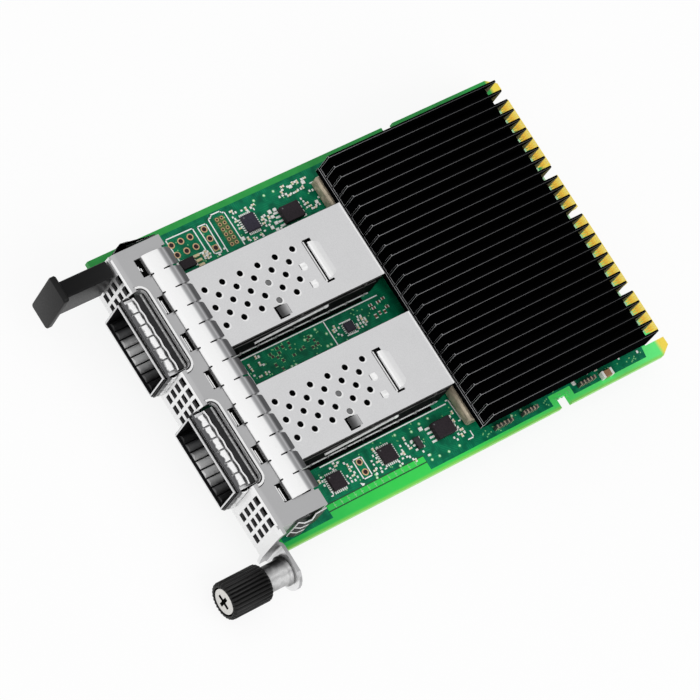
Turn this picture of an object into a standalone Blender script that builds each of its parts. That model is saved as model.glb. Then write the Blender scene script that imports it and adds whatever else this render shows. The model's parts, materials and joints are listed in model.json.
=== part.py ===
import math

import bmesh
import bpy

# All sizes in metres. Card coordinates: X across the card, Y from the faceplate (-) to the contacts (+),
# Z up from the top face of the board. CARD_X, CARD_Y and CARD_Z move them to the middle of the footprint.
MM = 0.001
GAP = 0.3 * MM

BOARD_WIDTH = 76.0 * MM
BOARD_LENGTH = 115.0 * MM
BOARD_THICKNESS = 1.57 * MM
BOARD_TAB_CHAMFER = 2.6 * MM
BOARD_KEY_DEPTH = 5.4 * MM
BOARD_NOTCH_Y = 24.3 * MM
BOARD_NOTCH_LENGTH = 3.1 * MM
BOARD_NOTCH_DEPTH = 2.4 * MM
BOARD_CORNER_INSET = 2.6 * MM
BOARD_CORNER_Y = -53.8 * MM
KEY_WIDTH = 1.4 * MM
KEY_INNER_X = (-12.1 * MM, 0.6 * MM, 20.6 * MM)
KEY_LEFT_INSET = 4.4 * MM
KEY_RIGHT_INSET = 4.8 * MM
HEADER_PITCH = 2.54 * MM
HEADER_HOLE_RADIUS = 0.5 * MM
HEADER_LEFT_INSET = 4.55 * MM
HEADER_RIGHT_INSET = 9.85 * MM
HEADER_BLOCK_Y = -37.8 * MM
HEADER_ROW_Y = -28.7 * MM
HEADER_PAIR_Y = -27.0 * MM

SINK_PITCH = 2.62 * MM
SINK_SIDE_GAP = 3.6 * MM
SINK_FINS = int((BOARD_WIDTH - 2 * SINK_SIDE_GAP) / SINK_PITCH) + 1
SINK_FIN_THICKNESS = 0.5 * MM
SINK_CENTRE_X = 0.3 * MM
SINK_FRONT_Y = 1.2 * MM
SINK_REAR_Y = 49.6 * MM
SINK_TOP_Z = 11.4 * MM
SINK_FOOT_Z = 6.0 * MM
SINK_BASE_Z = 4.2 * MM
SINK_LEDGE = 0.4 * MM
SINK_POST_RADIUS = 2.4 * MM
SINK_POST_INSET_X = 4.8 * MM
SINK_POST_INSET_Y = 5.7 * MM
CHIP_SIDE = 25.0 * MM
CHIP_HEIGHT = 2.7 * MM
CHIP_Y = 25.0 * MM
PAD_SIDE = 19.0 * MM

SHEET = 0.8 * MM
FRONT_Y = -58.6 * MM
FRONT_BOTTOM_Z = -1.9 * MM
FRONT_LEFT_X = 4.1 * MM - BOARD_WIDTH / 2
FRONT_RIGHT_X = BOARD_WIDTH / 2 - 1.3 * MM
FLANGE_TOP_Z = 11.2 * MM
FLANGE_REAR_Y = -45.2 * MM
FLANGE_RIGHT_X = FRONT_RIGHT_X - 1.5 * MM
BEND_RADIUS = 1.6 * MM
WINDOW_WIDTH = 4.4 * MM
WINDOW_FRONT_Y = -53.8 * MM
WINDOW_REAR_Y = -52.0 * MM
VENT_WIDTH = 1.9 * MM
VENT_HEIGHT = 1.8 * MM
VENT_PITCH_X = 2.72 * MM
VENT_PITCH_Z = 2.92 * MM
VENT_LOWEST_Z = 0.85 * MM
VENT_LEFT_EDGE = 0.2 * MM
VENT_RIGHT_EDGE = 0.5 * MM
VENT_ROWS = 4
WALL_BOTTOM_Z = 0.3 * MM
FOOT_LENGTH = 6.0 * MM
FOOT_Y = -49.6 * MM
FOOT_CAGE_GAP = 0.6 * MM

FINGER_PITCH = 4.77 * MM
STRIP_END_GAP = 2.0 * MM
FINGERS = int((FLANGE_RIGHT_X - FRONT_LEFT_X - 2 * STRIP_END_GAP) / FINGER_PITCH)
FINGER_SLIT = 0.35 * MM
STRIP_SHEET = 0.3 * MM

PORT_SIDE_STRIP = 9.2 * MM
PORT_X = (BOARD_WIDTH / 2 - PORT_SIDE_STRIP) / 2
CAGE_WIDTH = 18.9 * MM
CAGE_TOP_Z = 9.4 * MM
CAGE_MOUTH_Y = -61.9 * MM
CAGE_REAR_Y = -1.6 * MM
CAGE_WALL = 0.35 * MM
PORT_CUT_HALF = CAGE_WIDTH / 2 + 0.55 * MM
PORT_CUT_REAR_Y = -55.5 * MM
PORT_CUT_RADIUS = 1.5 * MM
RIM_WIDTH = 0.9 * MM
RIM_HEIGHT = 0.4 * MM
FRAME_FRONT_Y = -61.0 * MM
FRAME_FINGERS = 6
HOLE_RADIUS = 0.55 * MM
HOLE_PITCH = 4.78 * MM
HOLE_ROW_PITCH = 2.28 * MM
HOLE_FIRST_X = -4.4 * MM
HOLE_FIRST_Y = -41.95 * MM
CAGE_SLOT_X = 0.35 * MM
CAGE_SLOT_LENGTH = 11.0 * MM
CAGE_SLOT_WIDTH = 1.6 * MM
CAGE_SLOT_Y = -14.3 * MM
RIB_PITCH = 2.2 * MM
RIBS = int((CAGE_WIDTH - 2 * CAGE_WALL - GAP) / RIB_PITCH)
RIB_LENGTH = 7.6 * MM
SOCKET_SIDE_GAP = 0.9 * MM
SOCKET_REAR_GAP = 2.05 * MM
SOCKET_LENGTH = 17.0 * MM
SOCKET_TOP_GAP = 1.25 * MM
SOCKET_SLOT_MARGIN = 1.3 * MM
SOCKET_SLOT_DEPTH = 11.0 * MM
SOCKET_SLOT_Z = 3.9 * MM
SOCKET_SLOT_HEIGHT = 1.6 * MM

TAB_LEFT_X = FRONT_LEFT_X + 0.1 * MM
TAB_WIDTH = 4.0 * MM
TAB_HEIGHT = 10.0 * MM
TAB_SCREW_INSET = 2.45 * MM
PADDLE_LEFT_X = TAB_LEFT_X - 1.6 * MM
PADDLE_WIDTH = 6.5 * MM
PADDLE_BOTTOM_Z = -3.4 * MM
PADDLE_TOP_Z = 10.8 * MM
PADDLE_FRONT_Y = -72.8 * MM
PADDLE_THICKNESS = 1.5 * MM

THUMB_Z = -2.0 * MM
EAR_FRONT_Y = -55.2 * MM
EAR_RADIUS = 4.9 * MM
KNOB_FRONT_Y = -71.8 * MM
KNOB_REAR_Y = -61.4 * MM
KNOB_RADIUS = 4.35 * MM
KNOB_PLATE_GAP = 0.25 * MM
THUMB_X = FRONT_RIGHT_X + KNOB_PLATE_GAP + KNOB_RADIUS
KNOB_RIDGES = 30
KNOB_RIDGE_DEPTH = 0.28 * MM
FERRULE_RADIUS = 3.0 * MM
FERRULE_INSERTION = 1.2 * MM
SHANK_RADIUS = 1.15 * MM
THREAD_RADIUS = 1.5 * MM
HEAD_RADIUS = 3.15 * MM

CARD_X = -0.5 * (THUMB_X + EAR_RADIUS - BOARD_WIDTH / 2)
CARD_Y = -0.5 * (PADDLE_FRONT_Y + BOARD_LENGTH / 2)
CARD_Z = EAR_RADIUS - THUMB_Z

COLORS = {
    "board_green": ((0.0, 0.19, 0.10), 0.35, 0.0),
    "heat_sink_black": ((0.012, 0.012, 0.013), 0.45, 0.6),
    "sheet_steel": ((0.62, 0.62, 0.62), 0.28, 1.0),
    "spring_steel": ((0.78, 0.78, 0.78), 0.2, 1.0),
    "cage_steel": ((0.52, 0.52, 0.52), 0.35, 1.0),
    "gasket_black": ((0.02, 0.02, 0.02), 0.9, 0.0),
    "socket_black": ((0.025, 0.025, 0.028), 0.5, 0.0),
    "tab_black": ((0.018, 0.018, 0.018), 0.5, 0.0),
    "chip_black": ((0.03, 0.03, 0.035), 0.5, 0.0),
    "crystal_metal": ((0.6, 0.58, 0.54), 0.3, 1.0),
    "capacitor_tan": ((0.45, 0.33, 0.22), 0.5, 0.0),
    "inductor_grey": ((0.12, 0.12, 0.12), 0.6, 0.0),
    "screw_steel": ((0.65, 0.65, 0.65), 0.25, 1.0),
    "pad_grey": ((0.4, 0.42, 0.45), 0.8, 0.0),
}


def make_material(name):
    color, roughness, metallic = COLORS[name]
    material = bpy.data.materials.new(name)
    material.use_nodes = True
    shader = material.node_tree.nodes["Principled BSDF"]
    shader.inputs["Base Color"].default_value = (*color, 1.0)
    shader.inputs["Roughness"].default_value = roughness
    shader.inputs["Metallic"].default_value = metallic
    material.diffuse_color = (*color, 1.0)
    return material


def add_object(name, mesh, collection, material=None):
    obj = bpy.data.objects.new(name, mesh)
    collection.objects.link(obj)
    obj.location = (CARD_X, CARD_Y, CARD_Z)
    if material:
        mesh.materials.append(material)
    return obj


def finish_mesh(name, bm):
    bmesh.ops.recalc_face_normals(bm, faces=bm.faces)
    mesh = bpy.data.meshes.new(name)
    bm.to_mesh(mesh)
    bm.free()
    return mesh


def add_block(bm, x0, x1, y0, y1, z0, z1):
    corners = bmesh.ops.create_cube(bm, size=1.0)["verts"]
    for corner in corners:
        corner.co.x = x1 if corner.co.x > 0 else x0
        corner.co.y = y1 if corner.co.y > 0 else y0
        corner.co.z = z1 if corner.co.z > 0 else z0
    return corners


def add_prism(bm, outline, plane, low, high):
    # plane "XY" extrudes along Z, "YZ" along X and "XZ" along Y
    def point(pair, depth):
        if plane == "XY":
            return (pair[0], pair[1], depth)
        if plane == "YZ":
            return (depth, pair[0], pair[1])
        return (pair[0], depth, pair[1])

    bottom = [bm.verts.new(point(pair, low)) for pair in outline]
    top = [bm.verts.new(point(pair, high)) for pair in outline]
    bm.faces.new(bottom)
    bm.faces.new(top)
    count = len(outline)
    for index in range(count):
        after = (index + 1) % count
        bm.faces.new((bottom[index], bottom[after], top[after], top[index]))
    return bottom + top


def add_cylinder(bm, x, y, z, radius, depth, axis, sides):
    rod = bmesh.ops.create_cone(
        bm, cap_ends=True, segments=sides, radius1=radius, radius2=radius, depth=depth
    )["verts"]
    for vertex in rod:
        a, b, c = vertex.co
        if axis == "Y":
            a, b, c = a, -c, b
        vertex.co = (a + x, b + y, c + z)
    return rod


def arc(centre, radius, start, end, steps):
    points = []
    for step in range(steps + 1):
        angle = math.radians(start + (end - start) * step / steps)
        points.append((centre[0] + radius * math.cos(angle), centre[1] + radius * math.sin(angle)))
    return points


def add_cut(target, mesh, cutters, operation="DIFFERENCE"):
    cutter = bpy.data.objects.new(mesh.name, mesh)
    cutters.objects.link(cutter)
    cutter.location = target.location
    cutter.hide_render = True
    cutter.display_type = "WIRE"
    modifier = target.modifiers.new(mesh.name, "BOOLEAN")
    modifier.operation = operation
    modifier.solver = "EXACT"
    modifier.object = cutter
    return modifier


def add_bevel(obj, width, segments=1):
    bevel = obj.modifiers.new("edge_bevel", "BEVEL")
    bevel.width = width
    bevel.segments = segments
    bevel.limit_method = "ANGLE"
    bevel.angle_limit = math.radians(40)
    return bevel


def block_part(name, spans, collection, material, bevel=0.0):
    bm = bmesh.new()
    add_block(bm, *spans)
    obj = add_object(name, finish_mesh(name, bm), collection, material)
    if bevel:
        add_bevel(obj, bevel)
    return obj


def turned_part(name, profile, y_start, collection, material, steps=32):
    # profile pairs are (radius, distance behind y_start) and run round a closed loop
    mesh = bpy.data.meshes.new(name)
    points = [(radius, 0.0, -depth) for radius, depth in profile]
    edges = [(index, (index + 1) % len(points)) for index in range(len(points))]
    if profile[0][0] == 0.0 and profile[-1][0] == 0.0:
        edges.pop()
    mesh.from_pydata(points, edges, [])
    obj = bpy.data.objects.new(name, mesh)
    collection.objects.link(obj)
    mesh.materials.append(material)
    obj.location = (CARD_X + THUMB_X, CARD_Y + y_start, CARD_Z + THUMB_Z)
    obj.rotation_euler = (math.radians(90), 0.0, 0.0)
    screw = obj.modifiers.new("turn", "SCREW")
    screw.axis = "Z"
    screw.steps = steps
    screw.render_steps = steps
    screw.use_merge_vertices = True
    screw.merge_threshold = 0.00001
    return obj


def header_holes():
    left = HEADER_LEFT_INSET - BOARD_WIDTH / 2
    right = BOARD_WIDTH / 2 - HEADER_RIGHT_INSET
    holes = []
    for column in range(2):
        for row in range(3):
            holes.append((left + column * HEADER_PITCH, HEADER_BLOCK_Y + row * HEADER_PITCH))
    for column in range(3):
        holes.append((left + (column - 0.1) * HEADER_PITCH, HEADER_ROW_Y))
    for column in range(2):
        holes.append((right + column * HEADER_PITCH, HEADER_PAIR_Y))
    return holes


def key_centres():
    half = BOARD_WIDTH / 2
    return (KEY_LEFT_INSET - half, *KEY_INNER_X, half - KEY_RIGHT_INSET)


def board_outline():
    half = BOARD_WIDTH / 2
    front = FRONT_Y + SHEET + GAP
    rear = BOARD_LENGTH / 2
    corner = half - BOARD_CORNER_INSET
    points = [(-half, front), (corner, front), (corner, BOARD_CORNER_Y), (half, BOARD_CORNER_Y)]
    notch_end = BOARD_NOTCH_Y + BOARD_NOTCH_LENGTH
    inner = half - BOARD_NOTCH_DEPTH
    points += [(half, BOARD_NOTCH_Y), (inner, BOARD_NOTCH_Y), (inner, notch_end), (half, notch_end)]
    points += [(half, rear - BOARD_TAB_CHAMFER), (half - 0.7 * BOARD_TAB_CHAMFER, rear)]
    for centre in reversed(key_centres()):
        left = centre - KEY_WIDTH / 2
        right = centre + KEY_WIDTH / 2
        floor = rear - BOARD_KEY_DEPTH
        points += [(right, rear), (right, floor + KEY_WIDTH / 2)]
        points += arc((centre, floor + KEY_WIDTH / 2), KEY_WIDTH / 2, 0, -180, 6)[1:-1]
        points += [(left, floor + KEY_WIDTH / 2), (left, rear)]
    points += [(0.7 * BOARD_TAB_CHAMFER - half, rear), (-half, rear - BOARD_TAB_CHAMFER)]
    points += [(-half, notch_end), (-inner, notch_end), (-inner, BOARD_NOTCH_Y), (-half, BOARD_NOTCH_Y)]
    return points


def build_board(collection, cutters, materials):
    bm = bmesh.new()
    add_prism(bm, board_outline(), "XY", -BOARD_THICKNESS, 0.0)
    board = add_object("circuit_board", finish_mesh("circuit_board", bm), collection, materials["board_green"])
    holes = bmesh.new()
    depth = BOARD_THICKNESS * 3
    for x, y in header_holes():
        add_cylinder(holes, x, y, -BOARD_THICKNESS / 2, HEADER_HOLE_RADIUS, depth, "Z", 8)
    for x, y in sink_posts():
        add_cylinder(holes, x, y, -BOARD_THICKNESS / 2, 1.5 * MM, depth, "Z", 14)
    for x in foot_centres():
        add_cylinder(holes, x, FOOT_Y, -BOARD_THICKNESS / 2, 1.5 * MM, depth, "Z", 14)
    add_cut(board, finish_mesh("board_holes_cut", holes), cutters)


def sink_half_width():
    return 0.5 * ((SINK_FINS - 1) * SINK_PITCH + SINK_FIN_THICKNESS)


def sink_posts():
    reach = sink_half_width() - SINK_POST_INSET_X
    posts = []
    for y in (SINK_FRONT_Y + SINK_POST_INSET_Y, SINK_REAR_Y - SINK_POST_INSET_Y):
        posts += [(SINK_CENTRE_X - reach, y), (SINK_CENTRE_X + reach, y)]
    return posts


def build_heat_sink(collection, cutters, materials):
    left = SINK_CENTRE_X - sink_half_width()
    right = SINK_CENTRE_X + sink_half_width()
    outline = [(left, SINK_BASE_Z), (right, SINK_BASE_Z)]
    for fin in reversed(range(SINK_FINS)):
        fin_left = left + fin * SINK_PITCH
        fin_right = fin_left + SINK_FIN_THICKNESS
        if fin < SINK_FINS - 1:
            outline.append((fin_right, SINK_FOOT_Z))
        outline += [(fin_right, SINK_TOP_Z), (fin_left, SINK_TOP_Z)]
        if fin > 0:
            outline.append((fin_left, SINK_FOOT_Z))
    bm = bmesh.new()
    add_prism(bm, outline, "XZ", SINK_FRONT_Y, SINK_REAR_Y)
    sink = add_object("heat_sink", finish_mesh("heat_sink", bm), collection, materials["heat_sink_black"])
    joined = bmesh.new()
    add_block(joined, left, right, SINK_FRONT_Y - SINK_LEDGE, SINK_FRONT_Y + 1.0 * MM,
              SINK_BASE_Z, SINK_FOOT_Z - 0.15 * MM)
    chip_top = CHIP_HEIGHT + 2 * GAP + 0.4 * MM
    half = PAD_SIDE / 2
    add_block(joined, -half, half, CHIP_Y - half, CHIP_Y + half, chip_top, SINK_BASE_Z + 0.5 * MM)
    for x, y in sink_posts():
        low = GAP
        high = SINK_BASE_Z + 0.6 * MM
        add_cylinder(joined, x, y, (low + high) / 2, SINK_POST_RADIUS, high - low, "Z", 16)
    add_cut(sink, finish_mesh("sink_joined", joined), cutters, "UNION")
    holes = bmesh.new()
    for x, y in sink_posts():
        add_cylinder(holes, x, y, 1.4 * MM, 1.3 * MM, 5.0 * MM, "Z", 14)
    add_cut(sink, finish_mesh("sink_screw_cut", holes), cutters)


def build_chip(collection, materials):
    half = CHIP_SIDE / 2
    spans = (-half, half, CHIP_Y - half, CHIP_Y + half, GAP, CHIP_HEIGHT)
    block_part("controller_package", spans, collection, materials["chip_black"], 0.3 * MM)
    half = PAD_SIDE / 2 - 0.5 * MM
    low = CHIP_HEIGHT + GAP
    spans = (-half, half, CHIP_Y - half, CHIP_Y + half, low, low + 0.4 * MM)
    block_part("thermal_pad", spans, collection, materials["pad_grey"])


def bent_outline(front, bottom, top, rear, thickness, radius, steps=5):
    outer = [(front, bottom)]
    outer += arc((front + radius, top - radius), radius, 180, 90, steps)
    outer.append((rear, top))
    inner = [(rear, top - thickness)]
    inner += arc((front + radius, top - radius), radius - thickness, 90, 180, steps)
    inner.append((front + thickness, bottom))
    return outer + inner


def foot_spans():
    # each foot runs from its side wall almost to the cage beside it
    cage_side = PORT_X + CAGE_WIDTH / 2 + FOOT_CAGE_GAP
    left = (FRONT_LEFT_X + 0.5 * SHEET, -cage_side)
    right = (cage_side, FLANGE_RIGHT_X - 0.5 * SHEET)
    return (left, right)


def foot_centres():
    return [(low + high) / 2 for low, high in foot_spans()]


def ear_outline():
    # side flange, bend and ear seen from above, outer skin first
    radius = 1.4 * MM
    front = FRONT_Y + 0.4 * SHEET
    skin_x = FRONT_RIGHT_X
    end_x = THUMB_X + EAR_RADIUS
    rear_y = EAR_FRONT_Y + SHEET
    points = [(skin_x, front)]
    points += arc((skin_x + radius - SHEET, EAR_FRONT_Y - radius + SHEET), radius - SHEET, 180, 90, 4)
    points += [(end_x, EAR_FRONT_Y), (end_x, rear_y)]
    points += arc((skin_x + radius - SHEET, EAR_FRONT_Y - radius + SHEET), radius, 90, 180, 4)
    points.append((skin_x - SHEET, front))
    return points


def ear_side_outline():
    # what is kept of the side flange and ear, seen from the side
    top = THUMB_Z + EAR_RADIUS
    bottom = THUMB_Z - EAR_RADIUS
    rear = EAR_FRONT_Y + 2 * SHEET
    return [
        (FRONT_Y, FRONT_BOTTOM_Z),
        (FRONT_Y + 1.4 * MM, bottom),
        (rear, bottom),
        (rear, top - 0.6 * MM),
        (EAR_FRONT_Y - 0.6 * MM, top - 0.6 * MM),
        (FRONT_Y, 9.6 * MM),
    ]


def port_cut_outline(centre, margin=0.0):
    half = PORT_CUT_HALF + margin
    rear = PORT_CUT_REAR_Y + margin
    radius = PORT_CUT_RADIUS + margin
    points = [(centre - half, FRONT_Y - 1.0 * MM), (centre + half, FRONT_Y - 1.0 * MM)]
    points += arc((centre + half - radius, rear - radius), radius, 0, 90, 5)
    points += arc((centre - half + radius, rear - radius), radius, 90, 180, 5)
    return points


def vent_columns():
    # columns of vents that fit between the tab, the port cut-outs and the right wall
    inner = PORT_X - PORT_CUT_HALF
    outer = PORT_X + PORT_CUT_HALF
    spaces = ((TAB_LEFT_X + TAB_WIDTH, -outer), (-inner, inner), (outer, FLANGE_RIGHT_X - SHEET))
    columns = []
    for low, high in spaces:
        room = high - low - VENT_LEFT_EDGE - VENT_RIGHT_EDGE
        last = high - VENT_RIGHT_EDGE - VENT_WIDTH / 2
        for column in range(int((room - VENT_WIDTH) / VENT_PITCH_X) + 1):
            columns.append(last - column * VENT_PITCH_X)
    return columns


def build_faceplate(collection, cutters, materials):
    bm = bmesh.new()
    profile = bent_outline(FRONT_Y, FRONT_BOTTOM_Z, FLANGE_TOP_Z, FLANGE_REAR_Y, SHEET, BEND_RADIUS)
    add_prism(bm, profile, "YZ", FRONT_LEFT_X, FRONT_RIGHT_X)
    plate = add_object("faceplate", finish_mesh("faceplate", bm), collection, materials["sheet_steel"])

    trim = bmesh.new()
    add_block(trim, FLANGE_RIGHT_X, FRONT_RIGHT_X + 1.0 * MM, FRONT_Y + 1.3 * MM, FLANGE_REAR_Y + 1.0 * MM,
              FRONT_BOTTOM_Z - 1.0 * MM, FLANGE_TOP_Z + 1.0 * MM)
    add_cut(plate, finish_mesh("flange_trim_cut", trim), cutters)

    for side, x0 in (("left", FRONT_LEFT_X), ("right", FLANGE_RIGHT_X - SHEET)):
        wall = bmesh.new()
        add_block(wall, x0, x0 + SHEET, FRONT_Y + 0.2 * MM, FLANGE_REAR_Y,
                  WALL_BOTTOM_Z, FLANGE_TOP_Z - 0.3 * MM)
        add_cut(plate, finish_mesh("wall_" + side, wall), cutters, "UNION")
    feet = bmesh.new()
    for low, high in foot_spans():
        add_block(feet, low, high, FOOT_Y - FOOT_LENGTH / 2, FOOT_Y + FOOT_LENGTH / 2,
                  WALL_BOTTOM_Z, WALL_BOTTOM_Z + SHEET)
    add_cut(plate, finish_mesh("feet_joined", feet), cutters, "UNION")

    rims = bmesh.new()
    for centre in (-PORT_X, PORT_X):
        outline = [point for point in port_cut_outline(centre, RIM_WIDTH)]
        low = FRONT_Y + BEND_RADIUS - 0.2 * MM
        outline[0] = (outline[0][0], low)
        outline[1] = (outline[1][0], low)
        add_prism(rims, outline, "XY", FLANGE_TOP_Z - 0.4 * MM, FLANGE_TOP_Z + RIM_HEIGHT)
    add_cut(plate, finish_mesh("rims_joined", rims), cutters, "UNION")

    ear = bmesh.new()
    add_prism(ear, ear_outline(), "XY", THUMB_Z - EAR_RADIUS, 9.8 * MM)
    ear_object = add_object("ear_joined", finish_mesh("ear_joined", ear), cutters)
    ear_object.hide_render = True
    ear_object.display_type = "WIRE"
    kept = bmesh.new()
    add_prism(kept, ear_side_outline(), "YZ", FRONT_RIGHT_X - 2 * SHEET, THUMB_X + EAR_RADIUS + 1.0 * MM)
    add_cut(ear_object, finish_mesh("ear_side_kept", kept), cutters, "INTERSECT")
    lobe = bmesh.new()
    flat_end = THUMB_X
    reach = EAR_RADIUS
    outline = arc((flat_end, THUMB_Z), reach, 90, -90, 12)
    outline += [(FRONT_RIGHT_X - 2 * SHEET, THUMB_Z - reach), (FRONT_RIGHT_X - 2 * SHEET, 10.5 * MM)]
    outline += [(FRONT_RIGHT_X + 0.05 * MM, 10.5 * MM), (FRONT_RIGHT_X + 0.6 * MM, THUMB_Z + reach)]
    add_prism(lobe, outline, "XZ", FRONT_Y - 1.0 * MM, EAR_FRONT_Y + 3 * SHEET)
    add_cut(ear_object, finish_mesh("ear_lobe_kept", lobe), cutters, "INTERSECT")
    union = plate.modifiers.new("ear_union", "BOOLEAN")
    union.operation = "UNION"
    union.solver = "EXACT"
    union.object = ear_object

    openings = bmesh.new()
    for centre in (-PORT_X, PORT_X):
        add_prism(openings, port_cut_outline(centre), "XY", 0.0, FLANGE_TOP_Z + 2 * RIM_HEIGHT)
    for finger in range(0, FINGERS, 2):
        x = (finger + 0.5 - FINGERS / 2) * FINGER_PITCH
        add_block(openings, x - WINDOW_WIDTH / 2, x + WINDOW_WIDTH / 2, WINDOW_FRONT_Y, WINDOW_REAR_Y,
                  FLANGE_TOP_Z - 2 * SHEET, FLANGE_TOP_Z + SHEET)
    span = FINGERS * FINGER_PITCH / 2 + GAP
    add_block(openings, -span, span, FLANGE_REAR_Y - 1.0 * MM, FLANGE_REAR_Y + 1.0 * MM,
              FLANGE_TOP_Z - 2 * SHEET, FLANGE_TOP_Z + SHEET)
    for x in vent_columns():
        for row in range(VENT_ROWS):
            z = VENT_LOWEST_Z + row * VENT_PITCH_Z
            add_block(openings, x - VENT_WIDTH / 2, x + VENT_WIDTH / 2, FRONT_Y - SHEET,
                      FRONT_Y + 2 * SHEET, z - VENT_HEIGHT / 2, z + VENT_HEIGHT / 2)
    for x in foot_centres():
        add_cylinder(openings, x, FOOT_Y, WALL_BOTTOM_Z, 1.3 * MM, 3.0 * MM, "Z", 14)
    add_cylinder(openings, THUMB_X, EAR_FRONT_Y + SHEET / 2, THUMB_Z, 2.6 * MM, 3.0 * MM, "Y", 24)
    add_cut(plate, finish_mesh("faceplate_openings_cut", openings), cutters)


def build_finger_strip(collection, cutters, materials):
    lift = FLANGE_TOP_Z + GAP
    path = [
        (WINDOW_REAR_Y + 0.1 * MM, lift),
        (WINDOW_REAR_Y + 0.8 * MM, lift + 0.35 * MM),
        (FLANGE_REAR_Y - 2.3 * MM, lift + 0.4 * MM),
        (FLANGE_REAR_Y - 0.7 * MM, lift - 0.15 * MM),
        (FLANGE_REAR_Y + 0.2 * MM, lift - 0.95 * MM),
        (FLANGE_REAR_Y + 0.5 * MM, lift - 1.75 * MM),
    ]
    upper = []
    lower = []
    for index, point in enumerate(path):
        before = path[max(index - 1, 0)]
        after = path[min(index + 1, len(path) - 1)]
        run = (after[0] - before[0], after[1] - before[1])
        length = math.hypot(*run)
        normal = (-run[1] / length * STRIP_SHEET, run[0] / length * STRIP_SHEET)
        lower.append(point)
        upper.append((point[0] + normal[0], point[1] + normal[1]))
    bm = bmesh.new()
    half = FINGERS * FINGER_PITCH / 2
    add_prism(bm, upper + lower[::-1], "YZ", -half, half)
    strip = add_object("finger_strip", finish_mesh("finger_strip", bm), collection, materials["spring_steel"])
    slits = bmesh.new()
    for index in range(1, FINGERS):
        x = index * FINGER_PITCH - half
        for front, rear in (
            (WINDOW_REAR_Y - 1.0 * MM, WINDOW_REAR_Y + 1.4 * MM),
            (FLANGE_REAR_Y - 3.4 * MM, FLANGE_REAR_Y + 5.0 * MM),
        ):
            add_block(slits, x - FINGER_SLIT / 2, x + FINGER_SLIT / 2, front, rear,
                      lift - 6.0 * MM, lift + 3.0 * MM)
    add_cut(strip, finish_mesh("finger_slits_cut", slits), cutters)


def build_side_springs(collection, cutters, materials):
    # each path is (distance out from the wall, distance in front of the flange's rear edge) in millimetres
    left_path = ((0.0, 0.3), (0.15, 5.3), (1.0, 7.0), (1.2, 8.8), (0.5, 10.4))
    right_path = ((0.0, 0.3), (0.15, 3.3), (0.9, 4.8), (0.8, 6.8), (0.1, 8.1))
    low = WALL_BOTTOM_Z + 2.3 * MM
    high = FLANGE_TOP_Z - 0.6 * MM
    for name, wall_x, sign, path in (
        ("side_spring_left", FRONT_LEFT_X, -1.0, left_path),
        ("side_spring_right", FLANGE_RIGHT_X, 1.0, right_path),
    ):
        inner = wall_x + sign * GAP
        back = [(inner + sign * out * MM, FLANGE_REAR_Y - ahead * MM) for out, ahead in path]
        skin = [(x + sign * STRIP_SHEET, y) for x, y in back]
        bm = bmesh.new()
        add_prism(bm, skin + back[::-1], "XY", low, high)
        spring = add_object(name, finish_mesh(name, bm), collection, materials["spring_steel"])
        slit = bmesh.new()
        for step in (1, 2):
            z = low + step * (high - low) / 3
            add_block(slit, inner - 3.0 * MM, inner + 3.0 * MM, FLANGE_REAR_Y - 13.0 * MM,
                      FLANGE_REAR_Y - 3.1 * MM, z - FINGER_SLIT / 2, z + FINGER_SLIT / 2)
        add_cut(spring, finish_mesh(name + "_slits_cut", slit), cutters)


def build_cage(name, centre, collection, cutters, materials):
    half = CAGE_WIDTH / 2
    bm = bmesh.new()
    add_block(bm, centre - half, centre + half, CAGE_MOUTH_Y, CAGE_REAR_Y, GAP, CAGE_TOP_Z)
    cage = add_object(name, finish_mesh(name, bm), collection, materials["cage_steel"])
    inside = bmesh.new()
    inner = half - CAGE_WALL
    add_block(inside, centre - inner, centre + inner, CAGE_MOUTH_Y - 1.0 * MM, CAGE_REAR_Y - CAGE_WALL,
              GAP + CAGE_WALL, CAGE_TOP_Z - CAGE_WALL)
    add_cut(cage, finish_mesh(name + "_inside_cut", inside), cutters)
    holes = bmesh.new()
    for row in range(5):
        count = 6 if row % 2 == 0 else 5
        shift = 0.0 if row % 2 == 0 else HOLE_PITCH / 2
        for index in range(count):
            x = centre + HOLE_FIRST_X + row * HOLE_ROW_PITCH
            y = HOLE_FIRST_Y + shift + index * HOLE_PITCH
            add_cylinder(holes, x, y, CAGE_TOP_Z, HOLE_RADIUS, 2.0 * MM, "Z", 8)
    slot_x = centre + CAGE_SLOT_X
    add_block(holes, slot_x - CAGE_SLOT_LENGTH / 2, slot_x + CAGE_SLOT_LENGTH / 2,
              CAGE_SLOT_Y - CAGE_SLOT_WIDTH / 2, CAGE_SLOT_Y + CAGE_SLOT_WIDTH / 2,
              CAGE_TOP_Z - 1.0 * MM, CAGE_TOP_Z + 1.0 * MM)
    add_cut(cage, finish_mesh(name + "_holes_cut", holes), cutters)


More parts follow.
